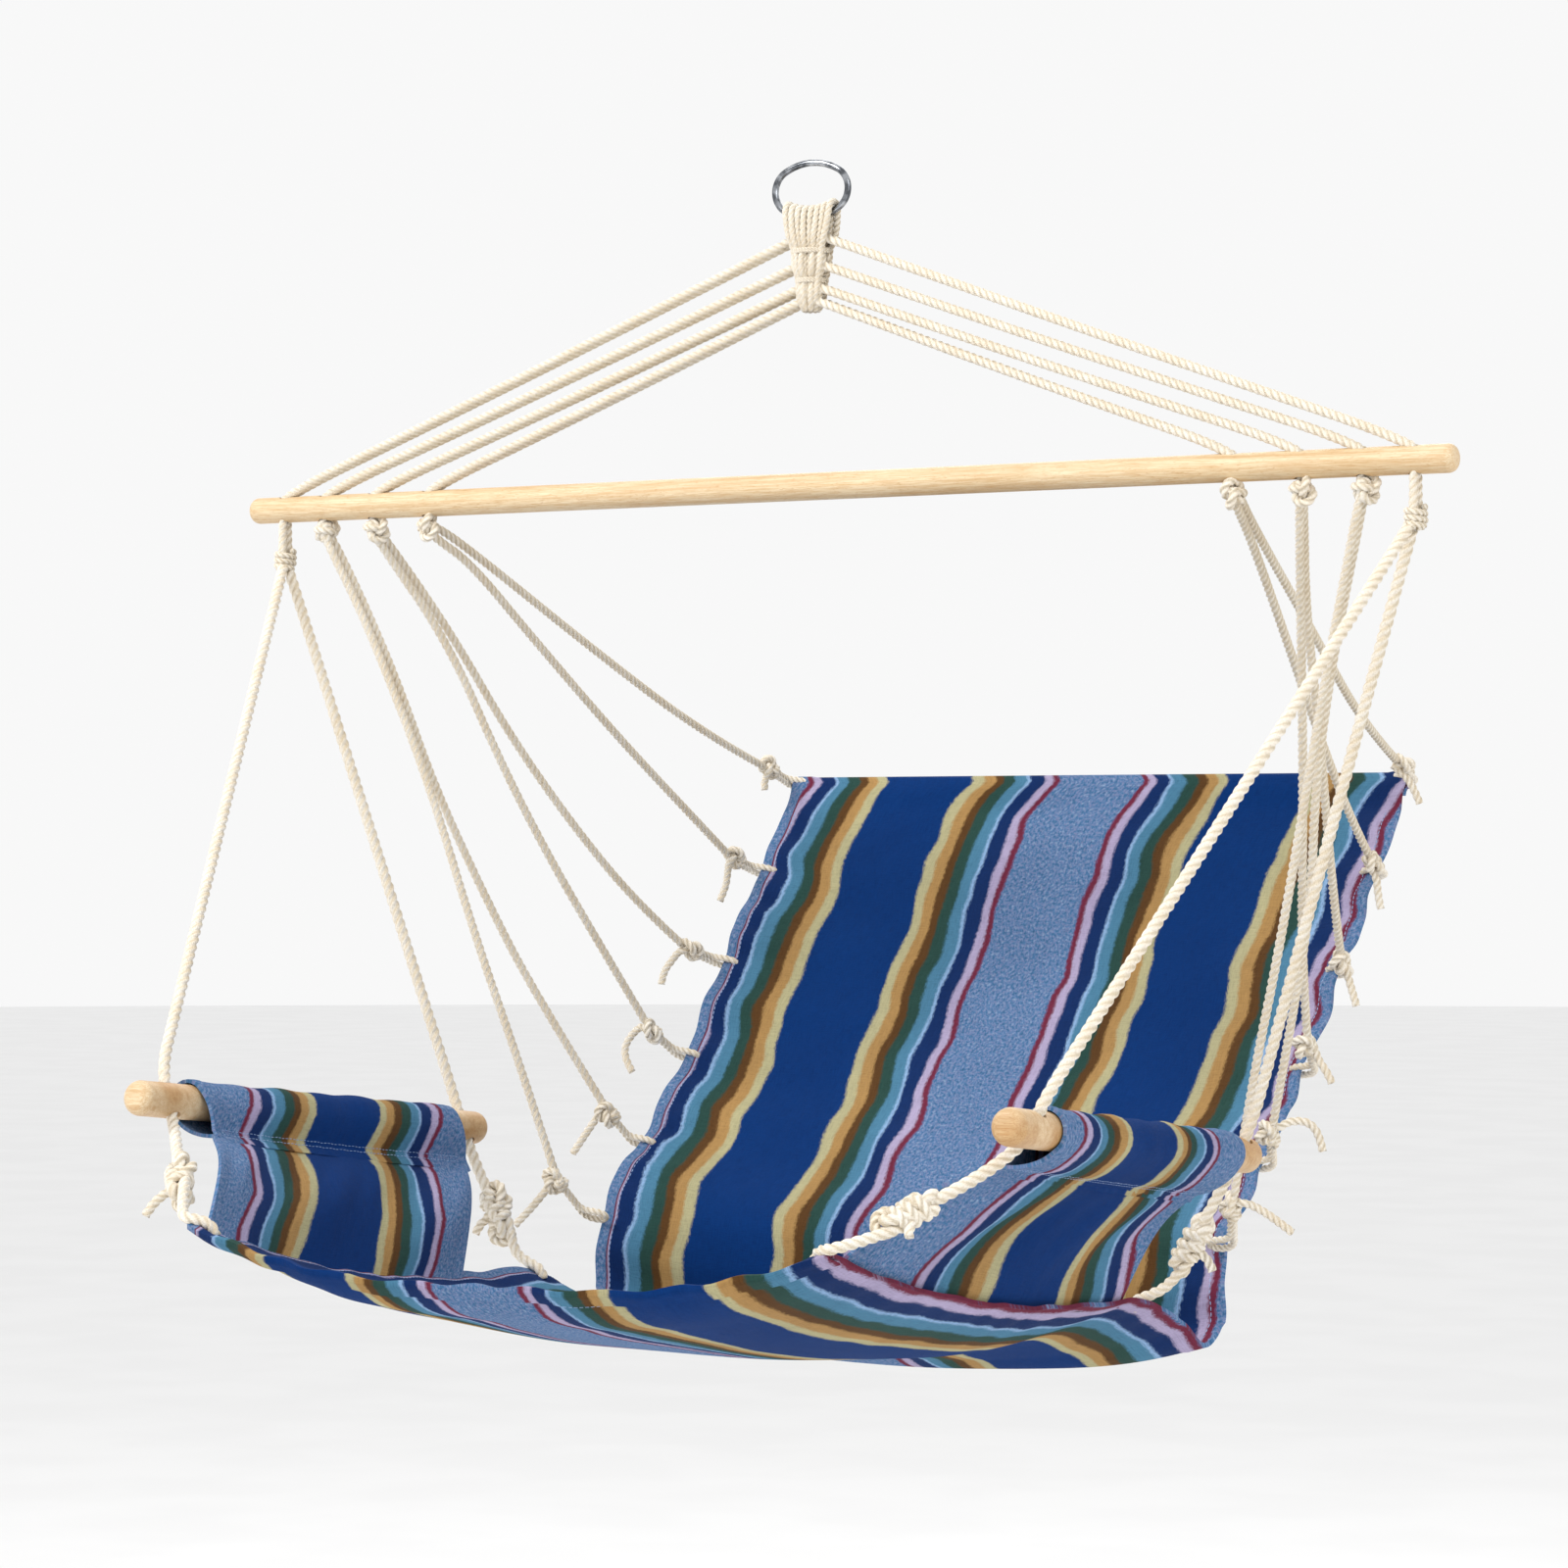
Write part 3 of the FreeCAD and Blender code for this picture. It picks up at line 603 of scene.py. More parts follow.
# Where each loose end runs, as steps from its knot, for the left and the right side.
LOOSE_ENDS = {
    "left": [
        [(-3, -4, -9), (-2, -4, -17)],
        [(-2, -5, -12), (-5, -4, -24), (-9, -6, -34)],
        [(-12, -5, -8), (-19, -8, -18), (-20, -9, -28)],
        [(-14, -3, -2), (-21, -6, -13), (-18, -8, -25), (-12, -8, -33)],
        [(-9, -8, -7), (-18, -10, -20), (-26, -12, -32)],
        [(-8, -9, -12), (-17, -14, -24), (-27, -18, -35)],
    ],
    "right": [
        [(5, 2, -10), (11, 5, -22), (14, 7, -31)],
        [(3, 3, -12), (3, 5, -26), (5, 6, -37)],
        [(4, 3, -12), (7, 5, -25), (10, 6, -36)],
        [(6, 4, -10), (13, 6, -20), (16, 8, -28)],
        [(11, 8, 10), (24, 13, 10), (31, 17, 0), (33, 18, -12)],
        [(12, 8, 2), (26, 16, -8), (36, 24, -18)],
    ],
}
TAIL_D = 5.4 * MM
EDGE_WRAP = 4.6 * MM

for side_name, side in SIDES:
    for number, (hole, middle, knot, eye) in enumerate(BACK_CORDS, start=1):
        top = mm(hole, 0, ROCK_Z)
        route = [mm(*point) for point in middle]
        knot, eye = mm(*knot), mm(*eye)
        above_or_below = 1 if number % 2 else -1
        step = Vector((1, 0, 0)).cross(route[0] - top).normalized() * (PAIR_STEP * above_or_below)
        first = towards(top, route[0], 10 * MM) + step
        last = towards(knot, route[-1], 9.5 * MM)
        tucked = towards(top, route[0], 3.5 * MM) + step * 0.6
        control = mirrored([tucked, first] + route + [last], side)
        knot, eye = mirrored([knot, eye], side)

        away = (knot - control[-2]).normalized()
        to_eye = (eye - knot).normalized()
        sideways = to_eye.cross(Vector((0, 0, 1))).normalized()
        tail_steps = [mm(*step) for step in LOOSE_ENDS[side_name][number - 1]]
        knot_path = overhand(knot, away, sideways, CORD_D, 0.60, 0.8 * number + side)
        tail = [knot_path[-1]] + [knot + step for step in tail_steps]
        tied = [twisted_cord([control[-1]] + knot_path + tail[1:], CORD_D * 0.92)[0]]
        behind = Vector((0, math.sin(EYELET_LEAN), -math.cos(EYELET_LEAN)))
        near = knot - to_eye * (3 * MM)
        eyelet = eye + mm(-side * EYELET_INSET, 0, 0) + behind * (EYELET_SINK * MM)
        midway = knot.lerp(eye, 0.6)
        there = [near - behind * (2.4 * MM), midway - behind * (3.6 * MM), eye - behind * (4.0 * MM),
                 eyelet - behind * (5.2 * MM)]
        back = [eyelet + behind * (5.2 * MM), eye + behind * (5.0 * MM), midway + behind * (3.6 * MM),
                near + behind * (2.4 * MM)]
        loop = there + [eyelet + mm(-side * 5.5, 0, 0)] + back
        tied.append(twisted_cord(loop, TAIL_D)[0])
        wrap = wound(knot + to_eye * (1 * MM), knot + to_eye * (8 * MM), sideways * EDGE_WRAP,
                     to_eye.cross(sideways) * EDGE_WRAP, 1.4, 12, number)
        tied.append(twisted_cord(wrap, TAIL_D)[0])
        knot_piece = coated(joined(tied, f"edge_knot_{side_name}_{number}"), CORD)
        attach(knot_piece, "seat")
        if number == 1:
            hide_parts("edge_knots_" + side_name)

        laid_cord(control, CORD_D, f"back_cord_{side_name}_{number}_laid", "seat",
                  f"back_cord_{side_name}_{number}")

# ---------------------------------------------------------------------------
# Arm cords: through the armrest and down to the big knots at the seat's edge
# ---------------------------------------------------------------------------

ARM_FRONT, ARM_REAR = mm(341, -355, -669), mm(322, 82, -714)
# Each cord's hole from the rod's front end, its eye in the seat, and its knot's share of the way there.
ARM_ENDS = [("front", 38 * MM, mm(250, -418, -748), 0.55), ("rear", 388 * MM, mm(268, 24, -812), 0.50)]
ROD_CLEARANCE = 21 * MM
ARM_KNOT = 12 * MM
# How the cord goes on from its eye, over the seat's edge and down into the cloth behind the hem.
THROUGH_SEAT = {"front": [(-1, 3, 3), (-9, 8, 1.5), (-16, 12, -2), (-18, 13, -9)],
                "rear": [(-8, 0, 3), (-15, -1, 1), (-21, -2, -3), (-22.5, -2, -8.5)]}
ARM_TAILS = {("left", "front"): mm(-20, -12, -22), ("right", "front"): mm(4, -14, -12),
             ("left", "rear"): mm(-14, -6, -16), ("right", "rear"): mm(12, 6, -18)}
ARM_WRAP = 7.6 * MM


def arm_axis(side):
    front, rear = mirrored([ARM_FRONT, ARM_REAR], side)
    return front, (rear - front).normalized()


def hole_way(side):
    """The direction of the armrest's cord holes, square to the rod and leaning outwards at the top."""
    _, along = arm_axis(side)
    lean = Vector((0.45 * side, 0, 1))
    return (lean - along * lean.dot(along)).normalized()


for side_name, side in SIDES:
    stem_knot = mirrored([STEM_KNOT], side)[0]
    front, along = arm_axis(side)
    way = hole_way(side)
    stem_x = HOLES[0] * side
    stem_top = mm(stem_x, 0, BAR_Z - 5)
    cords = []
    for row in (-1, 1):
        shift = mm(0, 3.0 * row, 0)
        shift_low = mm(0, 4.4 * row, 0)
        stem_route = [stem_top + shift, stem_top.lerp(stem_knot, 0.5) + shift * 1.1,
                      stem_knot + shift_low, stem_knot + shift_low * 1.6 + mm(0, 0, -9)]
        cords.append(twisted_cord(stem_route, CORD_D)[0])
    stem = coated(joined(cords, "stem_" + side_name), CORD)
    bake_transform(stem)

    wraps = wound(stem_knot + mm(0, 0, 6), stem_knot + mm(0, 0, -7), mm(6.2, 0, 0), mm(0, 8.4, 0), 3, 26)
    binding = joined([twisted_cord(wraps, 4.6 * MM)[0]], "stem_binding_" + side_name)
    coated(binding, CORD)
    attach(binding, "seat")
    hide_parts("arm_cord_knots_" + side_name)

    for end_name, distance, eye, share in ARM_ENDS:
        hole = front + along * distance
        eye = mirrored([eye], side)[0]
        above = hole + way * ROD_CLEARANCE
        below = hole - way * ROD_CLEARANCE
        knot = below + (eye - below) * share
        start = towards(stem_knot, above, 10 * MM)
        end = towards(knot, below, ARM_KNOT + 0.5 * MM)
        long_run = (above - start).length
        upper = start.lerp(above, 0.45)
        lower = start.lerp(above, 1 - 50 * MM / long_run)
        control = [start, upper, lower, above, below, end]

        to_eye = (eye - knot).normalized()
        sideways = to_eye.cross(Vector((0, 0, 1))).normalized()
        first_knot = overhand(knot - to_eye * (7 * MM), to_eye, sideways, ARM_CORD_D, 0.60, 0.5 + side)
        second_knot = overhand(knot + to_eye * (15 * MM), to_eye, sideways, ARM_CORD_D, 0.58, 2.4 - side)
        through = [eye - to_eye * (12 * MM)]
        through += [eye + mm(x * side, y, z) for x, y, z in THROUGH_SEAT[end_name]]
        tied = [twisted_cord([end] + first_knot + second_knot + through, ARM_CORD_D * 0.93)[0]]
        wrap = wound(knot - to_eye * (8 * MM), knot + to_eye * (14 * MM), sideways * ARM_WRAP,
                     to_eye.cross(sideways) * ARM_WRAP, 2.6, 21, side)
        tied.append(twisted_cord(wrap, CORD_D)[0])
        away = ARM_TAILS[side_name, end_name]
        tail = [knot + to_eye * (6 * MM), knot + away * 0.5, knot + away * 0.8, knot + away + mm(0, 0, -3)]
        tied.append(twisted_cord(tail, CORD_D)[0])
        knot_piece = coated(joined(tied, f"arm_knot_{end_name}_{side_name}"), CORD)
        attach(knot_piece, "seat")

        laid_cord(control, ARM_CORD_D, f"arm_cord_{end_name}_{side_name}_laid", "seat",
                  f"arm_cord_{end_name}_{side_name}")

# ---------------------------------------------------------------------------
# Crown: cords over the ring, gathered and lashed
# ---------------------------------------------------------------------------

RING_BOTTOM_Z = -37.3
RING_ARC = 45.0
LOOP_D = 5.0 * MM
LOOP_LEAN = [math.radians(angle) for angle in (-24, -17, -10.3, -3.5, 3.5, 10.3, 17, 24)]
# Height, share of the spread at the ring, and distance in front of and behind the middle.
LEG_SHAPE = [(-46, 0.90, 8.0), (-53, 0.80, 8.2), (-60, 0.66, 6.2), (-66, 0.62, 6.4), (-74, 0.58, 7.0),
             (-82, 0.46, 5.4), (-88, 0.44, 5.8), (-95, 0.40, 6.2), (-101, 0.28, 4.0)]

loops = []
for index, lean in enumerate(LOOP_LEAN):
    spread = math.sin(lean) * RING_ARC
    wire = mm(spread, 0, RING_BOTTOM_Z + RING_ARC * (1 - math.cos(lean)))
    for row in (-1, 1):
        layer = 1.0 if index % 2 else 0.82
        over = [wire + mm(0, 0, 6.6), wire + mm(0, row * 4.6, 6.2), wire + mm(0, row * 6.6, 1.5)]
        legs = [mm(spread * share, row * depth * layer, height) for height, share, depth in LEG_SHAPE]
        loops.append(twisted_cord(over + legs, LOOP_D)[0])
crown = coated(joined(loops, "crown_strands"), CORD)
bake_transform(crown)
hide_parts("ring_loops", "crown_cords")

# Each tier of lashing: its wrap's height, half width and half depth, then the same for the top and the
# bottom of its upright cords.
TIERS = [
    ("upper", (-61.5, 14.8, 9.8), None),
    ("middle", (-83.0, 11.4, 8.8), ((-62.5, 13.4, 8.6), (-82.0, 10.4, 8.2))),
    ("lower", None, ((-84.5, 10.2, 7.8), (-105.0, 6.6, 6.0))),
]
TIER_CORD = 5.0 * MM
TIER_COLUMNS = 9
WRAP_TURNS = 2
WRAP_CORD = 2.8 * MM
# How far an upright cord bulges at each share of its height.
COLUMN_BULGE = ((0.0, 0.72), (0.12, 1.0), (0.5, 1.16), (0.88, 1.0), (1.0, 0.66))

for tier, wrap_size, columns in TIERS:
    pieces = []
    if wrap_size:
        height, half_width, half_depth = wrap_size
        wrap = wound(mm(0, 0, height + 1.5), mm(0, 0, height - 1.5), mm(half_width, 0, 0),
                     mm(0, half_depth, 0), WRAP_TURNS, 24 * WRAP_TURNS)
        pieces.append(twisted_cord(wrap, WRAP_CORD)[0])
    if columns:
        top_size, bottom_size = columns
        for count in range(TIER_COLUMNS):
            swing = 2 * math.pi * (count + 0.35) / TIER_COLUMNS
            column = []
            for share, bulge in COLUMN_BULGE:
                height, half_width, half_depth = [a + (b - a) * share for a, b in zip(top_size, bottom_size)]
                column.append(mm(half_width * bulge * math.cos(swing),
                                 half_depth * bulge * math.sin(swing), height))
            pieces.append(twisted_cord(column, TIER_CORD)[0])
    lashing = coated(joined(pieces, f"lashing_{tier}_laid"), CORD)
    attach(lashing, "hanger")
    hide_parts("crown_lashing_" + tier)

# ---------------------------------------------------------------------------
# Seat and back: one strip of striped cloth
# ---------------------------------------------------------------------------

# The side edge from the front hem to the top of the back: Y, Z, half width, the middle's sag, and the
# angle that the sag leans from straight down towards the rear.
CLOTH_STATIONS = np.array([
    (-412, -747, 247, 32, -20),
    (-392, -753, 248, 42, -10),
    (-345, -767, 249, 43, 0),
    (-273, -783, 250, 43, 0),
    (-200, -795, 252, 44, 0),
    (-133, -803, 254, 46, 0),
    (-50, -809, 257, 47, 0),
    (25, -813, 260, 43, 0),
    (75, -832, 262, 35, 4),
    (112, -849, 264, 27, 15),
    (128, -840, 265, 26, 40),
    (130, -805, 266, 28, 55),
    (140, -775, 267, 27, 50),
    (196, -726, 268, 24, 48),
    (268, -660, 270, 22, 47),
    (332, -586, 273, 18, 48),
    (397, -513, 275, 10, 50),
    (456, -444, 276, 0, 50),
], float)
CLOTH_HALF_WIDTH = 276.0
CLOTH_GAUGE = 1.5
SIDE_HEM = 15.0
# The front hem is folded under by this much, round this radius.
FRONT_TURN, FRONT_ROLL = 18.0, 1.9
# The strip starts to bend this far before its rod, then goes round the rod and ends in a flap.
TOP_RISE = 26.0
ROD_Y, ROD_Z = 459.9, -441.8
ROLL_RADIUS = 5.0
TOP_TURN = math.pi * ROLL_RADIUS + 20.0
# The pattern's place at the outer side of the left hem, inside a heather band.
HEM_HEATHER = 32.0 - 2 * HALF_REPEAT
# The back starts this far along the strip from the front hem.
BACK_START, BACK_EASE = 520.0, 80.0
COLUMNS, ROWS = 108, 300


def station_lengths():
    steps = np.linalg.norm(np.diff(CLOTH_STATIONS[:, :2], axis=0), axis=1)
    return np.concatenate([[0.0], np.cumsum(steps)])


STATION_AT = station_lengths()
STRIP_LENGTH = STATION_AT[-1]


def eased(share):
    return share * share * (3 - 2 * share)


def unit(vectors):
    return vectors / np.linalg.norm(vectors, axis=1)[:, None]


def smooth_between(at, values, wanted):
    """Values that pass smoothly through the stations."""
    slopes = np.gradient(values, at)
    index = np.clip(np.searchsorted(at, wanted) - 1, 0, len(at) - 2)
    gap = at[index + 1] - at[index]
    share = (wanted - at[index]) / gap
    low, high = values[index], values[index + 1]
    low_slope, high_slope = slopes[index] * gap, slopes[index + 1] * gap
    share2, share3 = share ** 2, share ** 3
    return ((2 * share3 - 3 * share2 + 1) * low + (share3 - 2 * share2 + share) * low_slope
            + (-2 * share3 + 3 * share2) * high + (share3 - share2) * high_slope)


def hung_strip(across, along):
    """Where a point of the flat strip hangs, and the way it sags. across is -1 to 1, along is in mm."""
    inside = np.clip(along, 0, STRIP_LENGTH)
    edge_y, edge_z, half_width, sag, lean = [
        smooth_between(STATION_AT, column, inside) for column in CLOTH_STATIONS.T]
    lean = np.radians(lean)
    sag_y, sag_z = np.sin(lean), -np.cos(lean)
    drop = sag * (1 - np.abs(across) ** 3)
    x = across * half_width
    y = edge_y + sag_y * drop
    z = edge_z + sag_z * drop
    return np.stack([x, y, z], axis=1), np.stack([0 * x, sag_y, sag_z], axis=1)


def back_share(along):
    return np.clip((along - BACK_START) / BACK_EASE, 0, 1)


def cloth_ripples(across, along):
    """Puckers beside the hems and soft waves in the middle, along the cloth's own normal."""
    from_edge = CLOTH_HALF_WIDTH * (1 - np.abs(across))
    side = np.sign(across)
    on_back = back_share(along)
    puckers = ((0.5 + 0.8 * on_back) * np.exp(-((from_edge - 18) / 20) ** 2)
               * np.sin(along / 5.6 + side + 1.6 * np.sin(along / 37)))
    waves = ((0.6 + 0.9 * on_back) * np.exp(-from_edge / 75)
             * np.sin(along / 10.5 + 2.0 * side + 1.2 * np.sin(along / 60 + side)))
    broad = 1.3 * np.sin(along / 47 + across * 3.1) * np.sin(across * 5.3 + along / 130)
    at_front = np.exp(-np.abs(along) / 26)
    front = 1.5 * at_front * np.sin(across * 31 + 0.8 * np.sin(across * 9))
    return puckers + waves + broad + front


def flat_grid(columns, rows):
    nothing_selected()
    bpy.ops.mesh.primitive_grid_add(x_subdivisions=columns, y_subdivisions=rows, size=1, calc_uvs=True)
    return bpy.context.object


def lay_uv(mesh, across_mm, along_mm):
    corners = np.zeros(len(mesh.loops), int)
    mesh.loops.foreach_get("vertex_index", corners)
    pattern = np.stack([across_mm[corners], along_mm[corners]], axis=1) * MM
    mesh.uv_layers[0].data.foreach_set("uv", pattern.ravel())


def thicken(piece, gauge, hem_share, name):
    """Turns a sheet into cloth with a real thickness, doubled where the hems are."""
    group = piece.vertex_groups.new(name="hem")
    for share in (0.5, 1.0):
        members = np.nonzero(hem_share == share)[0].tolist()
        group.add(members, share, "REPLACE")
    wall = piece.modifiers.new("gauge", "SOLIDIFY")
    wall.thickness = 2 * gauge * MM
    wall.offset = 0.0
    wall.vertex_group = "hem"
    wall.use_rim = True
    wall.use_even_offset = False
    apply_modifiers(piece)
    only(piece)
    bpy.ops.object.shade_smooth_by_angle(angle=math.radians(50))
    piece.name = name
    return piece


def stripe_places(across, along):
    """Where each point lies across the pattern. It drifts near the top and right edges, and wavers."""
    from_edge = CLOTH_HALF_WIDTH * (1 - np.abs(across))
    on_back = back_share(along)
    shift = (-9 - 3 * np.clip(along / 400, 0, 1) + 22 * np.exp(-np.abs(STRIP_LENGTH - along) / 24)
             + (20 - 8 * on_back) * np.clip((across - 0.7) / 0.3, 0, 1))
    wave = ((0.3 + 1.5 * on_back) * np.sin(along / 13.5 + across * 5)
            + (0.5 + 1.5 * on_back) * np.sin(along / 31 + across * 3 + 1.0)
            + 1.4 * np.exp(-from_edge / 50) * on_back * np.sin(along / 8.2 + across))
    stripe = across * CLOTH_HALF_WIDTH - shift + wave
    left_hem = (across < 0) & (from_edge < 8)
    return np.where(left_hem, np.minimum(stripe, HEM_HEATHER - 8 + from_edge), stripe)


cloth = flat_grid(COLUMNS, ROWS)
flat = points_of(cloth.data)
across = flat[:, 0] * 2
total = STRIP_LENGTH + FRONT_TURN + TOP_TURN
along = (flat[:, 1] + 0.5) * total - FRONT_TURN
# Columns gather towards the side hems so that a hem's step is crisp.
across = np.sign(across) * (1 - (1 - np.abs(across)) ** 1.12)

middle, sag_way = hung_strip(across, along)
ahead, _ = hung_strip(across, np.clip(along, 1, STRIP_LENGTH - 1) + 1)
behind, _ = hung_strip(across, np.clip(along, 1, STRIP_LENGTH - 1) - 1)
run = unit(ahead - behind)
aside, _ = hung_strip(np.clip(across + 0.004, -1, 1), along)
other, _ = hung_strip(np.clip(across - 0.004, -1, 1), along)
normal = unit(np.cross(run, unit(aside - other)))
normal *= np.sign((normal * sag_way).sum(axis=1))[:, None]

near_top = np.clip((along - STRIP_LENGTH + 24) / 24, 0, 1) ** 2
points = middle + normal * (cloth_ripples(across, along) * (1 - near_top) + CLOTH_GAUGE)[:, None]
# The back's side edges are drawn out at its cords and fall in between them.
PULL_START, PULL_SPACING, PULL_DEPTH = 560.0, 92.0, 2.2
pull_wave = np.sin(np.clip(along - PULL_START, 0, None) / PULL_SPACING * 2 * math.pi + 1.0)
edge_pull = PULL_DEPTH * pull_wave * (along > PULL_START)
points[:, 0] += np.sign(across) * edge_pull * np.abs(across) ** 14 * (1 - near_top)

# The front hem is turned under.
past = -along
angle = np.clip(past / FRONT_ROLL, 0, math.pi)
straight = np.clip(past - math.pi * FRONT_ROLL, 0, None)
turned = (-run * (FRONT_ROLL * np.sin(angle) - straight)[:, None]
          + normal * (FRONT_ROLL * (1 - np.cos(angle)))[:, None])
points = np.where((along < 0)[:, None], points + turned, points)

# The top hem goes up the front of its rod, round it, and down behind.
rod = np.stack([0 * across, 0 * across + ROD_Y, 0 * across + ROD_Z], axis=1)
to_rod = rod - middle
to_rod[:, 0] = 0
rod_out = (to_rod * normal).sum(axis=1)
rod_ahead = (to_rod * run).sum(axis=1)
climb = eased(np.clip((along - STRIP_LENGTH + TOP_RISE) / TOP_RISE, 0, 1))
front_offset = (rod_out - ROLL_RADIUS - CLOTH_GAUGE) * climb
past = along - STRIP_LENGTH
start_gap = np.clip(rod_ahead, 0, 6)
angle = np.clip((past - start_gap) / ROLL_RADIUS, 0, math.pi)
behind = np.clip(past - start_gap - math.pi * ROLL_RADIUS, 0, None)
sheet_bend = eased(np.clip((TOP_RISE + start_gap - behind) / TOP_RISE, 0, 1))
roll_offset = front_offset + ROLL_RADIUS * (1 - np.cos(angle))
flap_offset = front_offset * sheet_bend + 3.3
closing = eased(np.clip(behind / 12, 0, 1))
up_front = points + normal * front_offset[:, None]
rolled = (points + run * (np.minimum(past, start_gap) + ROLL_RADIUS * np.sin(angle) - behind)[:, None]
          + normal * (roll_offset * (1 - closing) + flap_offset * closing)[:, None])
points = np.where((along > STRIP_LENGTH)[:, None], rolled, np.where((climb > 0)[:, None], up_front, points))
place_points(cloth.data, points * MM)
lay_uv(cloth.data, stripe_places(across, along), along)
from_edge = CLOTH_HALF_WIDTH * (1 - np.abs(across))
hem_share = np.where((from_edge < SIDE_HEM) & (along > 0), 1.0, 0.5)
seat_cloth = thicken(cloth, CLOTH_GAUGE, hem_share, "seat_and_back_sewn")
coated(seat_cloth, STRIPED)
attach(seat_cloth, "seat")
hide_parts("seat_and_back_cloth")

STITCH_PITCH = 4.2 * MM
STITCH_WIDTH = 0.8 * MM


def stitched_line(points, name):
    """A row of stitches that follows a line on the cloth."""
    route = route_curve([Vector(point) for point in points])
    length = line_length(centre_points(route))
    nothing_selected()
    bpy.ops.mesh.primitive_uv_sphere_add(segments=6, ring_count=4, radius=0.5)
    stitch = bpy.context.object
    bpy.ops.object.mode_set(mode="EDIT")
    bpy.ops.mesh.select_all(action="SELECT")
    bpy.ops.transform.resize(value=(STITCH_PITCH * 0.86, STITCH_WIDTH, STITCH_WIDTH * 0.7))
    bpy.ops.transform.translate(value=(STITCH_PITCH / 2, 0, 0))
    bpy.ops.object.mode_set(mode="OBJECT")
    bpy.ops.object.shade_smooth()
    row = stitch.modifiers.new("row", "ARRAY")
    row.use_relative_offset = False
    row.use_constant_offset = True
    row.constant_offset_displace = (STITCH_PITCH, 0, 0)
    row.count = int(length / STITCH_PITCH)
    bend = stitch.modifiers.new("route", "CURVE")
    bend.object = route
    bend.deform_axis = "POS_X"
    apply_modifiers(stitch)
    bpy.data.curves.remove(route.data)
    stitch.name = name
    stitch.data.name = name
    coated(stitch, THREAD)
    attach(stitch, "seat")


grid_columns, grid_rows = COLUMNS + 1, ROWS + 1
lattice = np.arange(len(across)).reshape(grid_rows, grid_columns)
column_across = across[lattice[grid_rows // 2]]
row_along = along[lattice[:, grid_columns // 2]]
# Distance of the stitches from the side edges and from the front edge, and of their middles from the cloth's.
SIDE_STITCHES, FRONT_STITCHES = 12.0, 14.0
ON_HEM, ON_SHEET = 1.62, 0.85
inner_face = points - normal * ON_HEM
for side_name, side in SIDES:
    stitched_at = side * (1 - SIDE_STITCHES / CLOTH_HALF_WIDTH)
    column = int(np.argmin(np.abs(column_across - stitched_at)))
    rows = lattice[(row_along > FRONT_STITCHES) & (row_along < STRIP_LENGTH - TOP_RISE), column]
    stitched_line(inner_face[rows] * MM, "side_hem_stitches_" + side_name)
front_row = int(np.argmin(np.abs(row_along - FRONT_STITCHES)))
line = lattice[front_row, 4:-4]
stitched_line((points[line] + normal[line] * ON_SHEET) * MM, "front_hem_stitches")

# ---------------------------------------------------------------------------
# Armrest panels: a sleeve sewn round the rod and a side that hangs to the seat
# ---------------------------------------------------------------------------

# Where the panels meet the seat's side edge: Y at each share of the sleeve's length.
SEAMS = {-1: [-402, -300, -215, -85], 1: [-392, -268, -175, -12]}
SEAM_TOPS = np.array([0.0, 0.36, 0.57, 1.0])
SLEEVE_START, SLEEVE_END = 58.0, 364.0
PANEL_LENGTH = SLEEVE_END - SLEEVE_START
SLEEVE_RADIUS = 13.9
SLEEVE_DEPTH = 34.0
SLEEVE_FREE_EDGE = 9.0
SLEEVE_FLANK = SLEEVE_FREE_EDGE + SLEEVE_DEPTH
SLEEVE_OVER = SLEEVE_FLANK + math.pi * SLEEVE_RADIUS
SLEEVE_STITCHES = SLEEVE_OVER + SLEEVE_DEPTH
PANEL_DROP = 108.0
ARM_SHEET_LENGTH = SLEEVE_STITCHES + PANEL_DROP
PANEL_GAUGE = 1.3
# The panels' feet lie on the seat at this share of its half width.
FOOT_SHARE = 0.972
# The stations of the strip that the seams can reach.
SEAM_STATIONS = 9
ARM_COLUMNS, ARM_ROWS = 84, 60


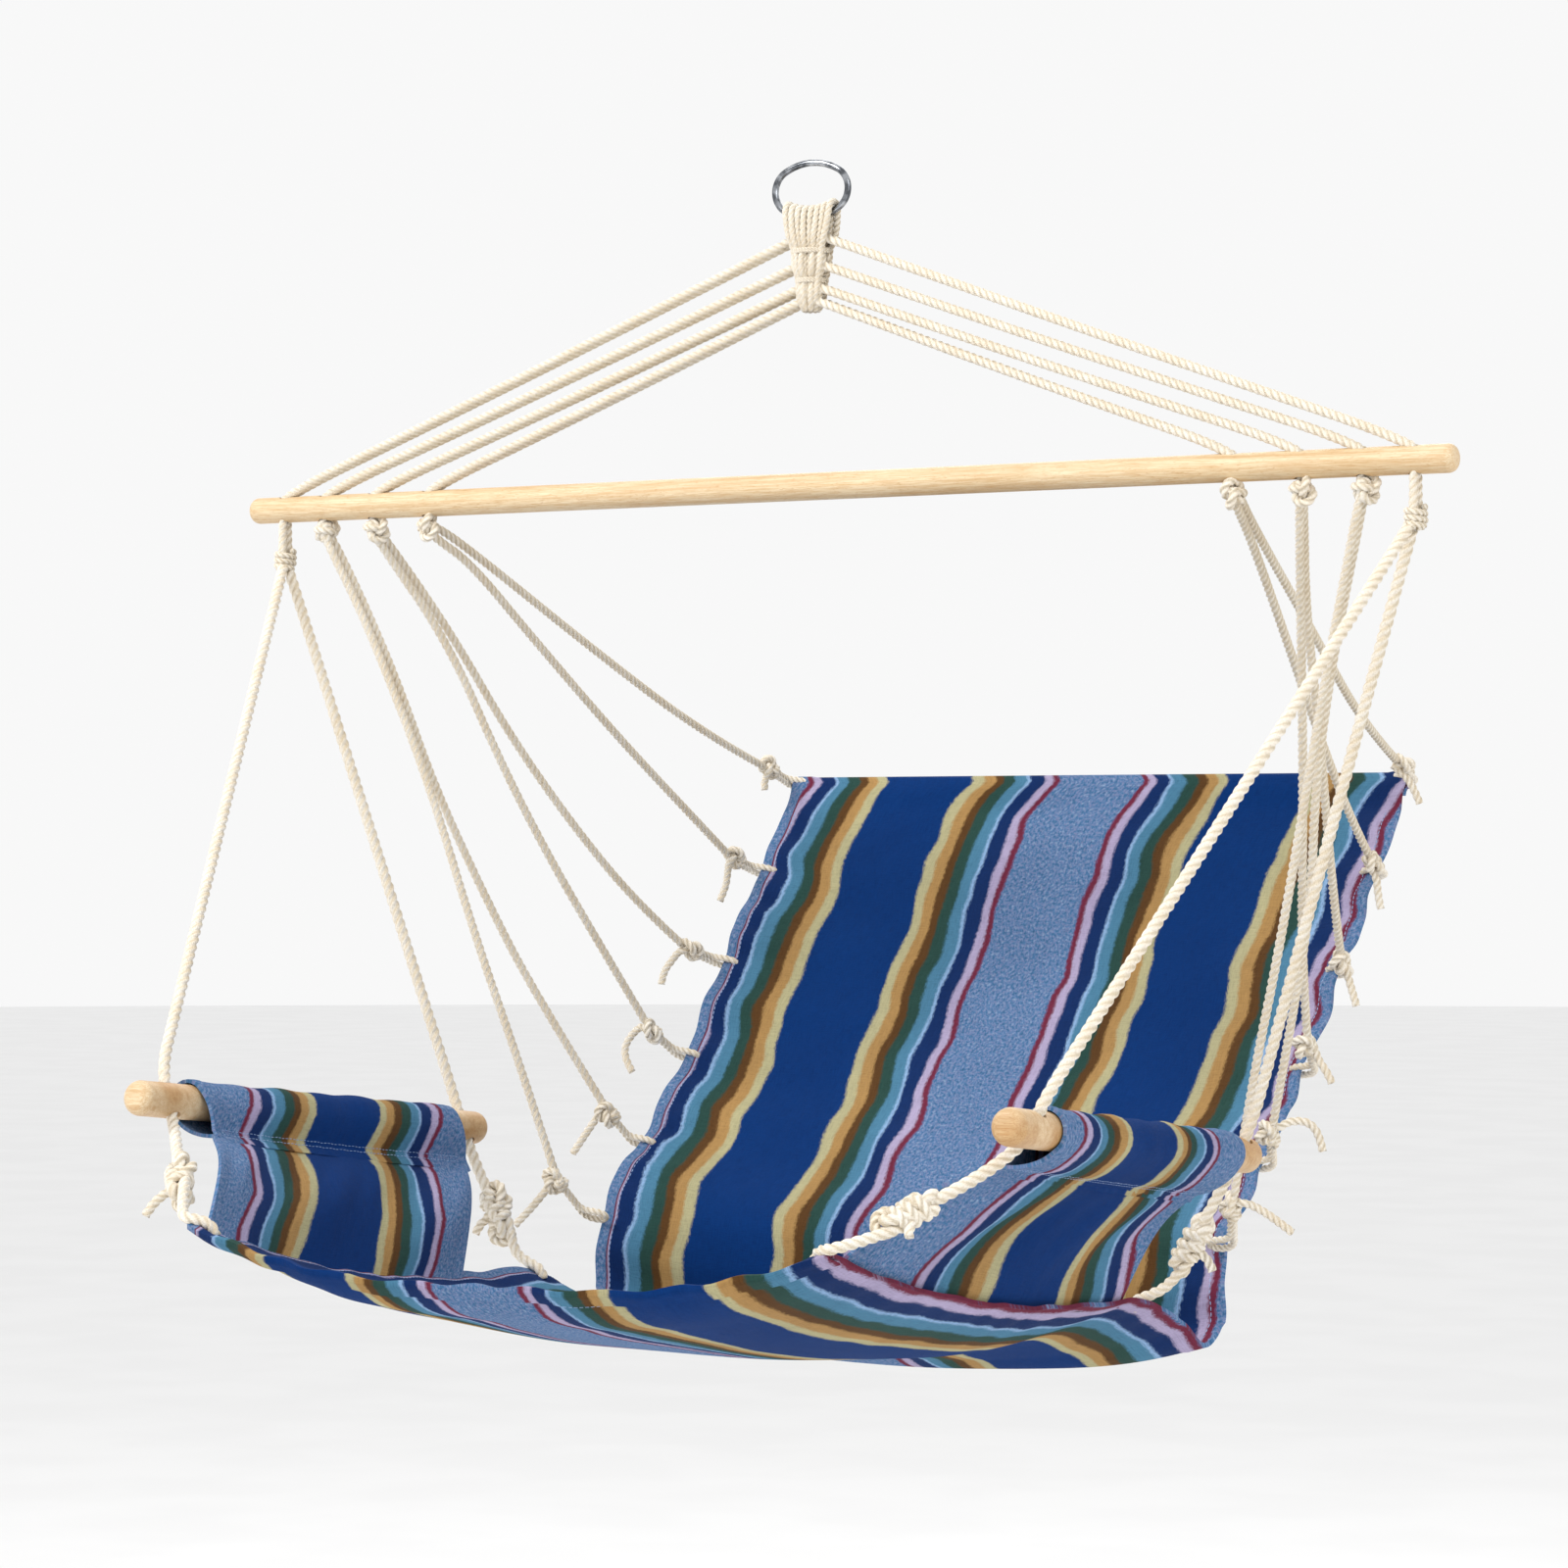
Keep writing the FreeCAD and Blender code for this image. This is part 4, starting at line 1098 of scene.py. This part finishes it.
def arm_sheet_points(side, along_share, down):
    """Where a point of a panel hangs. down runs from the sleeve's free edge round the rod to the seat."""
    front, axis = arm_axis(side)
    front, axis = np.array(front) / MM, np.array(axis)
    head = front + axis * (SLEEVE_START + PANEL_LENGTH * along_share)[:, None]
    seam_y = np.interp(along_share, SEAM_TOPS, SEAMS[side])
    seam_along = np.interp(seam_y, CLOTH_STATIONS[:SEAM_STATIONS, 0], STATION_AT[:SEAM_STATIONS])
    foot, sag_way = hung_strip(np.full_like(seam_along, side * FOOT_SHARE), seam_along)
    foot = foot + sag_way * CLOTH_GAUGE
    fall = foot - head
    plumb = unit(fall - axis * (fall @ axis)[:, None])
    outward = unit(np.cross(np.broadcast_to(axis, fall.shape), plumb) * side)

    ripple = 1.0 * np.sin(along_share * 41 + 1) + 0.8 * np.sin(along_share * 23)
    radius = SLEEVE_RADIUS + 0.7 + 0.5 * ripple
    # Outer flank, from the free edge up to the rod.
    lower_half = np.clip((SLEEVE_FLANK - down) / SLEEVE_DEPTH, 0, None)
    wide = radius * np.cos(np.clip(lower_half, 0, 1) ** 1.25 * math.pi / 2) ** 0.9
    outer_out = np.where(lower_half < 1, np.maximum(wide, 1.6), 1.6)
    # Over the top of the rod.
    angle = np.clip((down - SLEEVE_FLANK) / SLEEVE_RADIUS, 0, math.pi)
    top_out, top_down = radius * np.cos(angle), -radius * np.sin(angle)
    # Inner flank down to the stitching, then the hanging side.
    share = np.clip((down - SLEEVE_OVER) / SLEEVE_DEPTH, 0, 1)
    inner_out = -np.maximum(radius * np.cos(share ** 1.25 * math.pi / 2) ** 0.9, 0.0)
    inner_down = np.clip(down - SLEEVE_OVER, 0, SLEEVE_DEPTH)
    hang = np.clip((down - SLEEVE_STITCHES) / PANEL_DROP, 0, 1)

    out = np.where(down < SLEEVE_FLANK, outer_out, np.where(down < SLEEVE_OVER, top_out, inner_out))
    below = np.where(down < SLEEVE_FLANK, SLEEVE_FLANK - down,
                     np.where(down < SLEEVE_OVER, top_down, inner_down))
    sleeve = head + outward * out[:, None] + plumb * below[:, None]
    stitch = head + plumb * SLEEVE_DEPTH
    panel = stitch + (foot - stitch) * hang[:, None]
    belly = (9.0 * np.sin(hang * math.pi)
             + 2.6 * np.sin(hang * math.pi) * np.sin(along_share * 14 + hang * 3.5)
             + 1.1 * np.sin(along_share * 52 + hang * 5) * (1 - hang) * np.sin(hang * math.pi))
    panel = panel + outward * belly[:, None]
    pinch = 0.8 * np.sin(along_share * 63 + 2) * np.exp(-((below - SLEEVE_DEPTH) / 9) ** 2)
    sleeve = sleeve + outward * np.where(down < SLEEVE_OVER, np.abs(pinch), -np.abs(pinch))[:, None]
    return np.where((down > SLEEVE_STITCHES)[:, None], panel, sleeve), hang, outward


# How far the stripes slip along the armrest: at the free edge, up both flanks of the rod, at the stitching,
# and down to the seam.
SLIP_PLACES = [0, 10, 30, 43, 87, 100, SLEEVE_STITCHES, SLEEVE_STITCHES + 16, SLEEVE_STITCHES + 60,
               ARM_SHEET_LENGTH]
STRIPE_SLIP = {-1: [18, 20, -2, -9, -11, -8, 21, 12, 4, 12], 1: [5, 5, 12, 15, 16, 15, 2, -6, -20, -32]}
STRIPE_START = -8.0

for side_name, side in SIDES:
    sheet = flat_grid(ARM_COLUMNS, ARM_ROWS)
    flat = points_of(sheet.data)
    along_share = flat[:, 0] + 0.5
    down = (0.5 - flat[:, 1]) * ARM_SHEET_LENGTH
    points, hang, outward = arm_sheet_points(side, along_share, down)
    place_points(sheet.data, points * MM)
    sway = 2.6 * np.sin(hang * 7.5 + along_share * 5) * np.sin(hang * math.pi)
    slip = np.interp(down, SLIP_PLACES, STRIPE_SLIP[side])
    lay_uv(sheet.data, along_share * PANEL_LENGTH + STRIPE_START + slip + sway, down)
    from_end = np.minimum(along_share, 1 - along_share) * PANEL_LENGTH
    hem_share = np.where((from_end < 10) | (down < 7), 1.0, 0.5)
    panel = thicken(sheet, PANEL_GAUGE, hem_share, f"arm_panel_{side_name}_sewn")
    if side < 0:
        faces_outwards(panel)
    coated(panel, STRIPED)
    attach(panel, "seat")
    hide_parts("arm_cloth_" + side_name)

    arm_lattice = np.arange(len(down)).reshape(ARM_ROWS + 1, ARM_COLUMNS + 1)
    row_down = down[arm_lattice[:, 0]]
    for face_name, face, place in (("outer", 1, SLEEVE_FREE_EDGE), ("inner", -1, SLEEVE_STITCHES)):
        for line_name, step in (("upper", -1.9), ("lower", 1.9)):
            row = int(np.argmin(np.abs(row_down - place - step)))
            line = arm_lattice[row, 1:-1]
            reach = points[line] + outward[line] * (face * 0.78)
            stitched_line(reach * MM, f"sleeve_stitches_{side_name}_{face_name}_{line_name}")

# ---------------------------------------------------------------------------
# Finishes on the pieces kept from the design
# ---------------------------------------------------------------------------

KEPT_NODES = {"hanging_ring": STEEL, "spreader_bar": WOOD, "back_hem_rod": WOOD,
              "armrest_rod_left": DARKER_WOOD, "armrest_rod_right": DARKER_WOOD}
for name, finish in KEPT_NODES.items():
    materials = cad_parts[name].data.materials
    materials.clear()
    materials.append(finish)

# ---------------------------------------------------------------------------
# Floor
# ---------------------------------------------------------------------------

nothing_selected()
bpy.ops.mesh.primitive_circle_add(vertices=96, radius=30, fill_type="NGON", location=(0, 0, -1.6))
floor = bpy.context.object
floor.name = "studio_floor"
pale = Finish("studio_floor", 0.9)
clouds = pale.noise(pale.coordinates("Object"), 3.0)
pale_colour = pale.ramp(clouds, [(0.4, (0.86, 0.86, 0.86, 1)), (0.6, (0.88, 0.88, 0.88, 1))])
floor.data.materials.append(pale.finish(pale_colour))
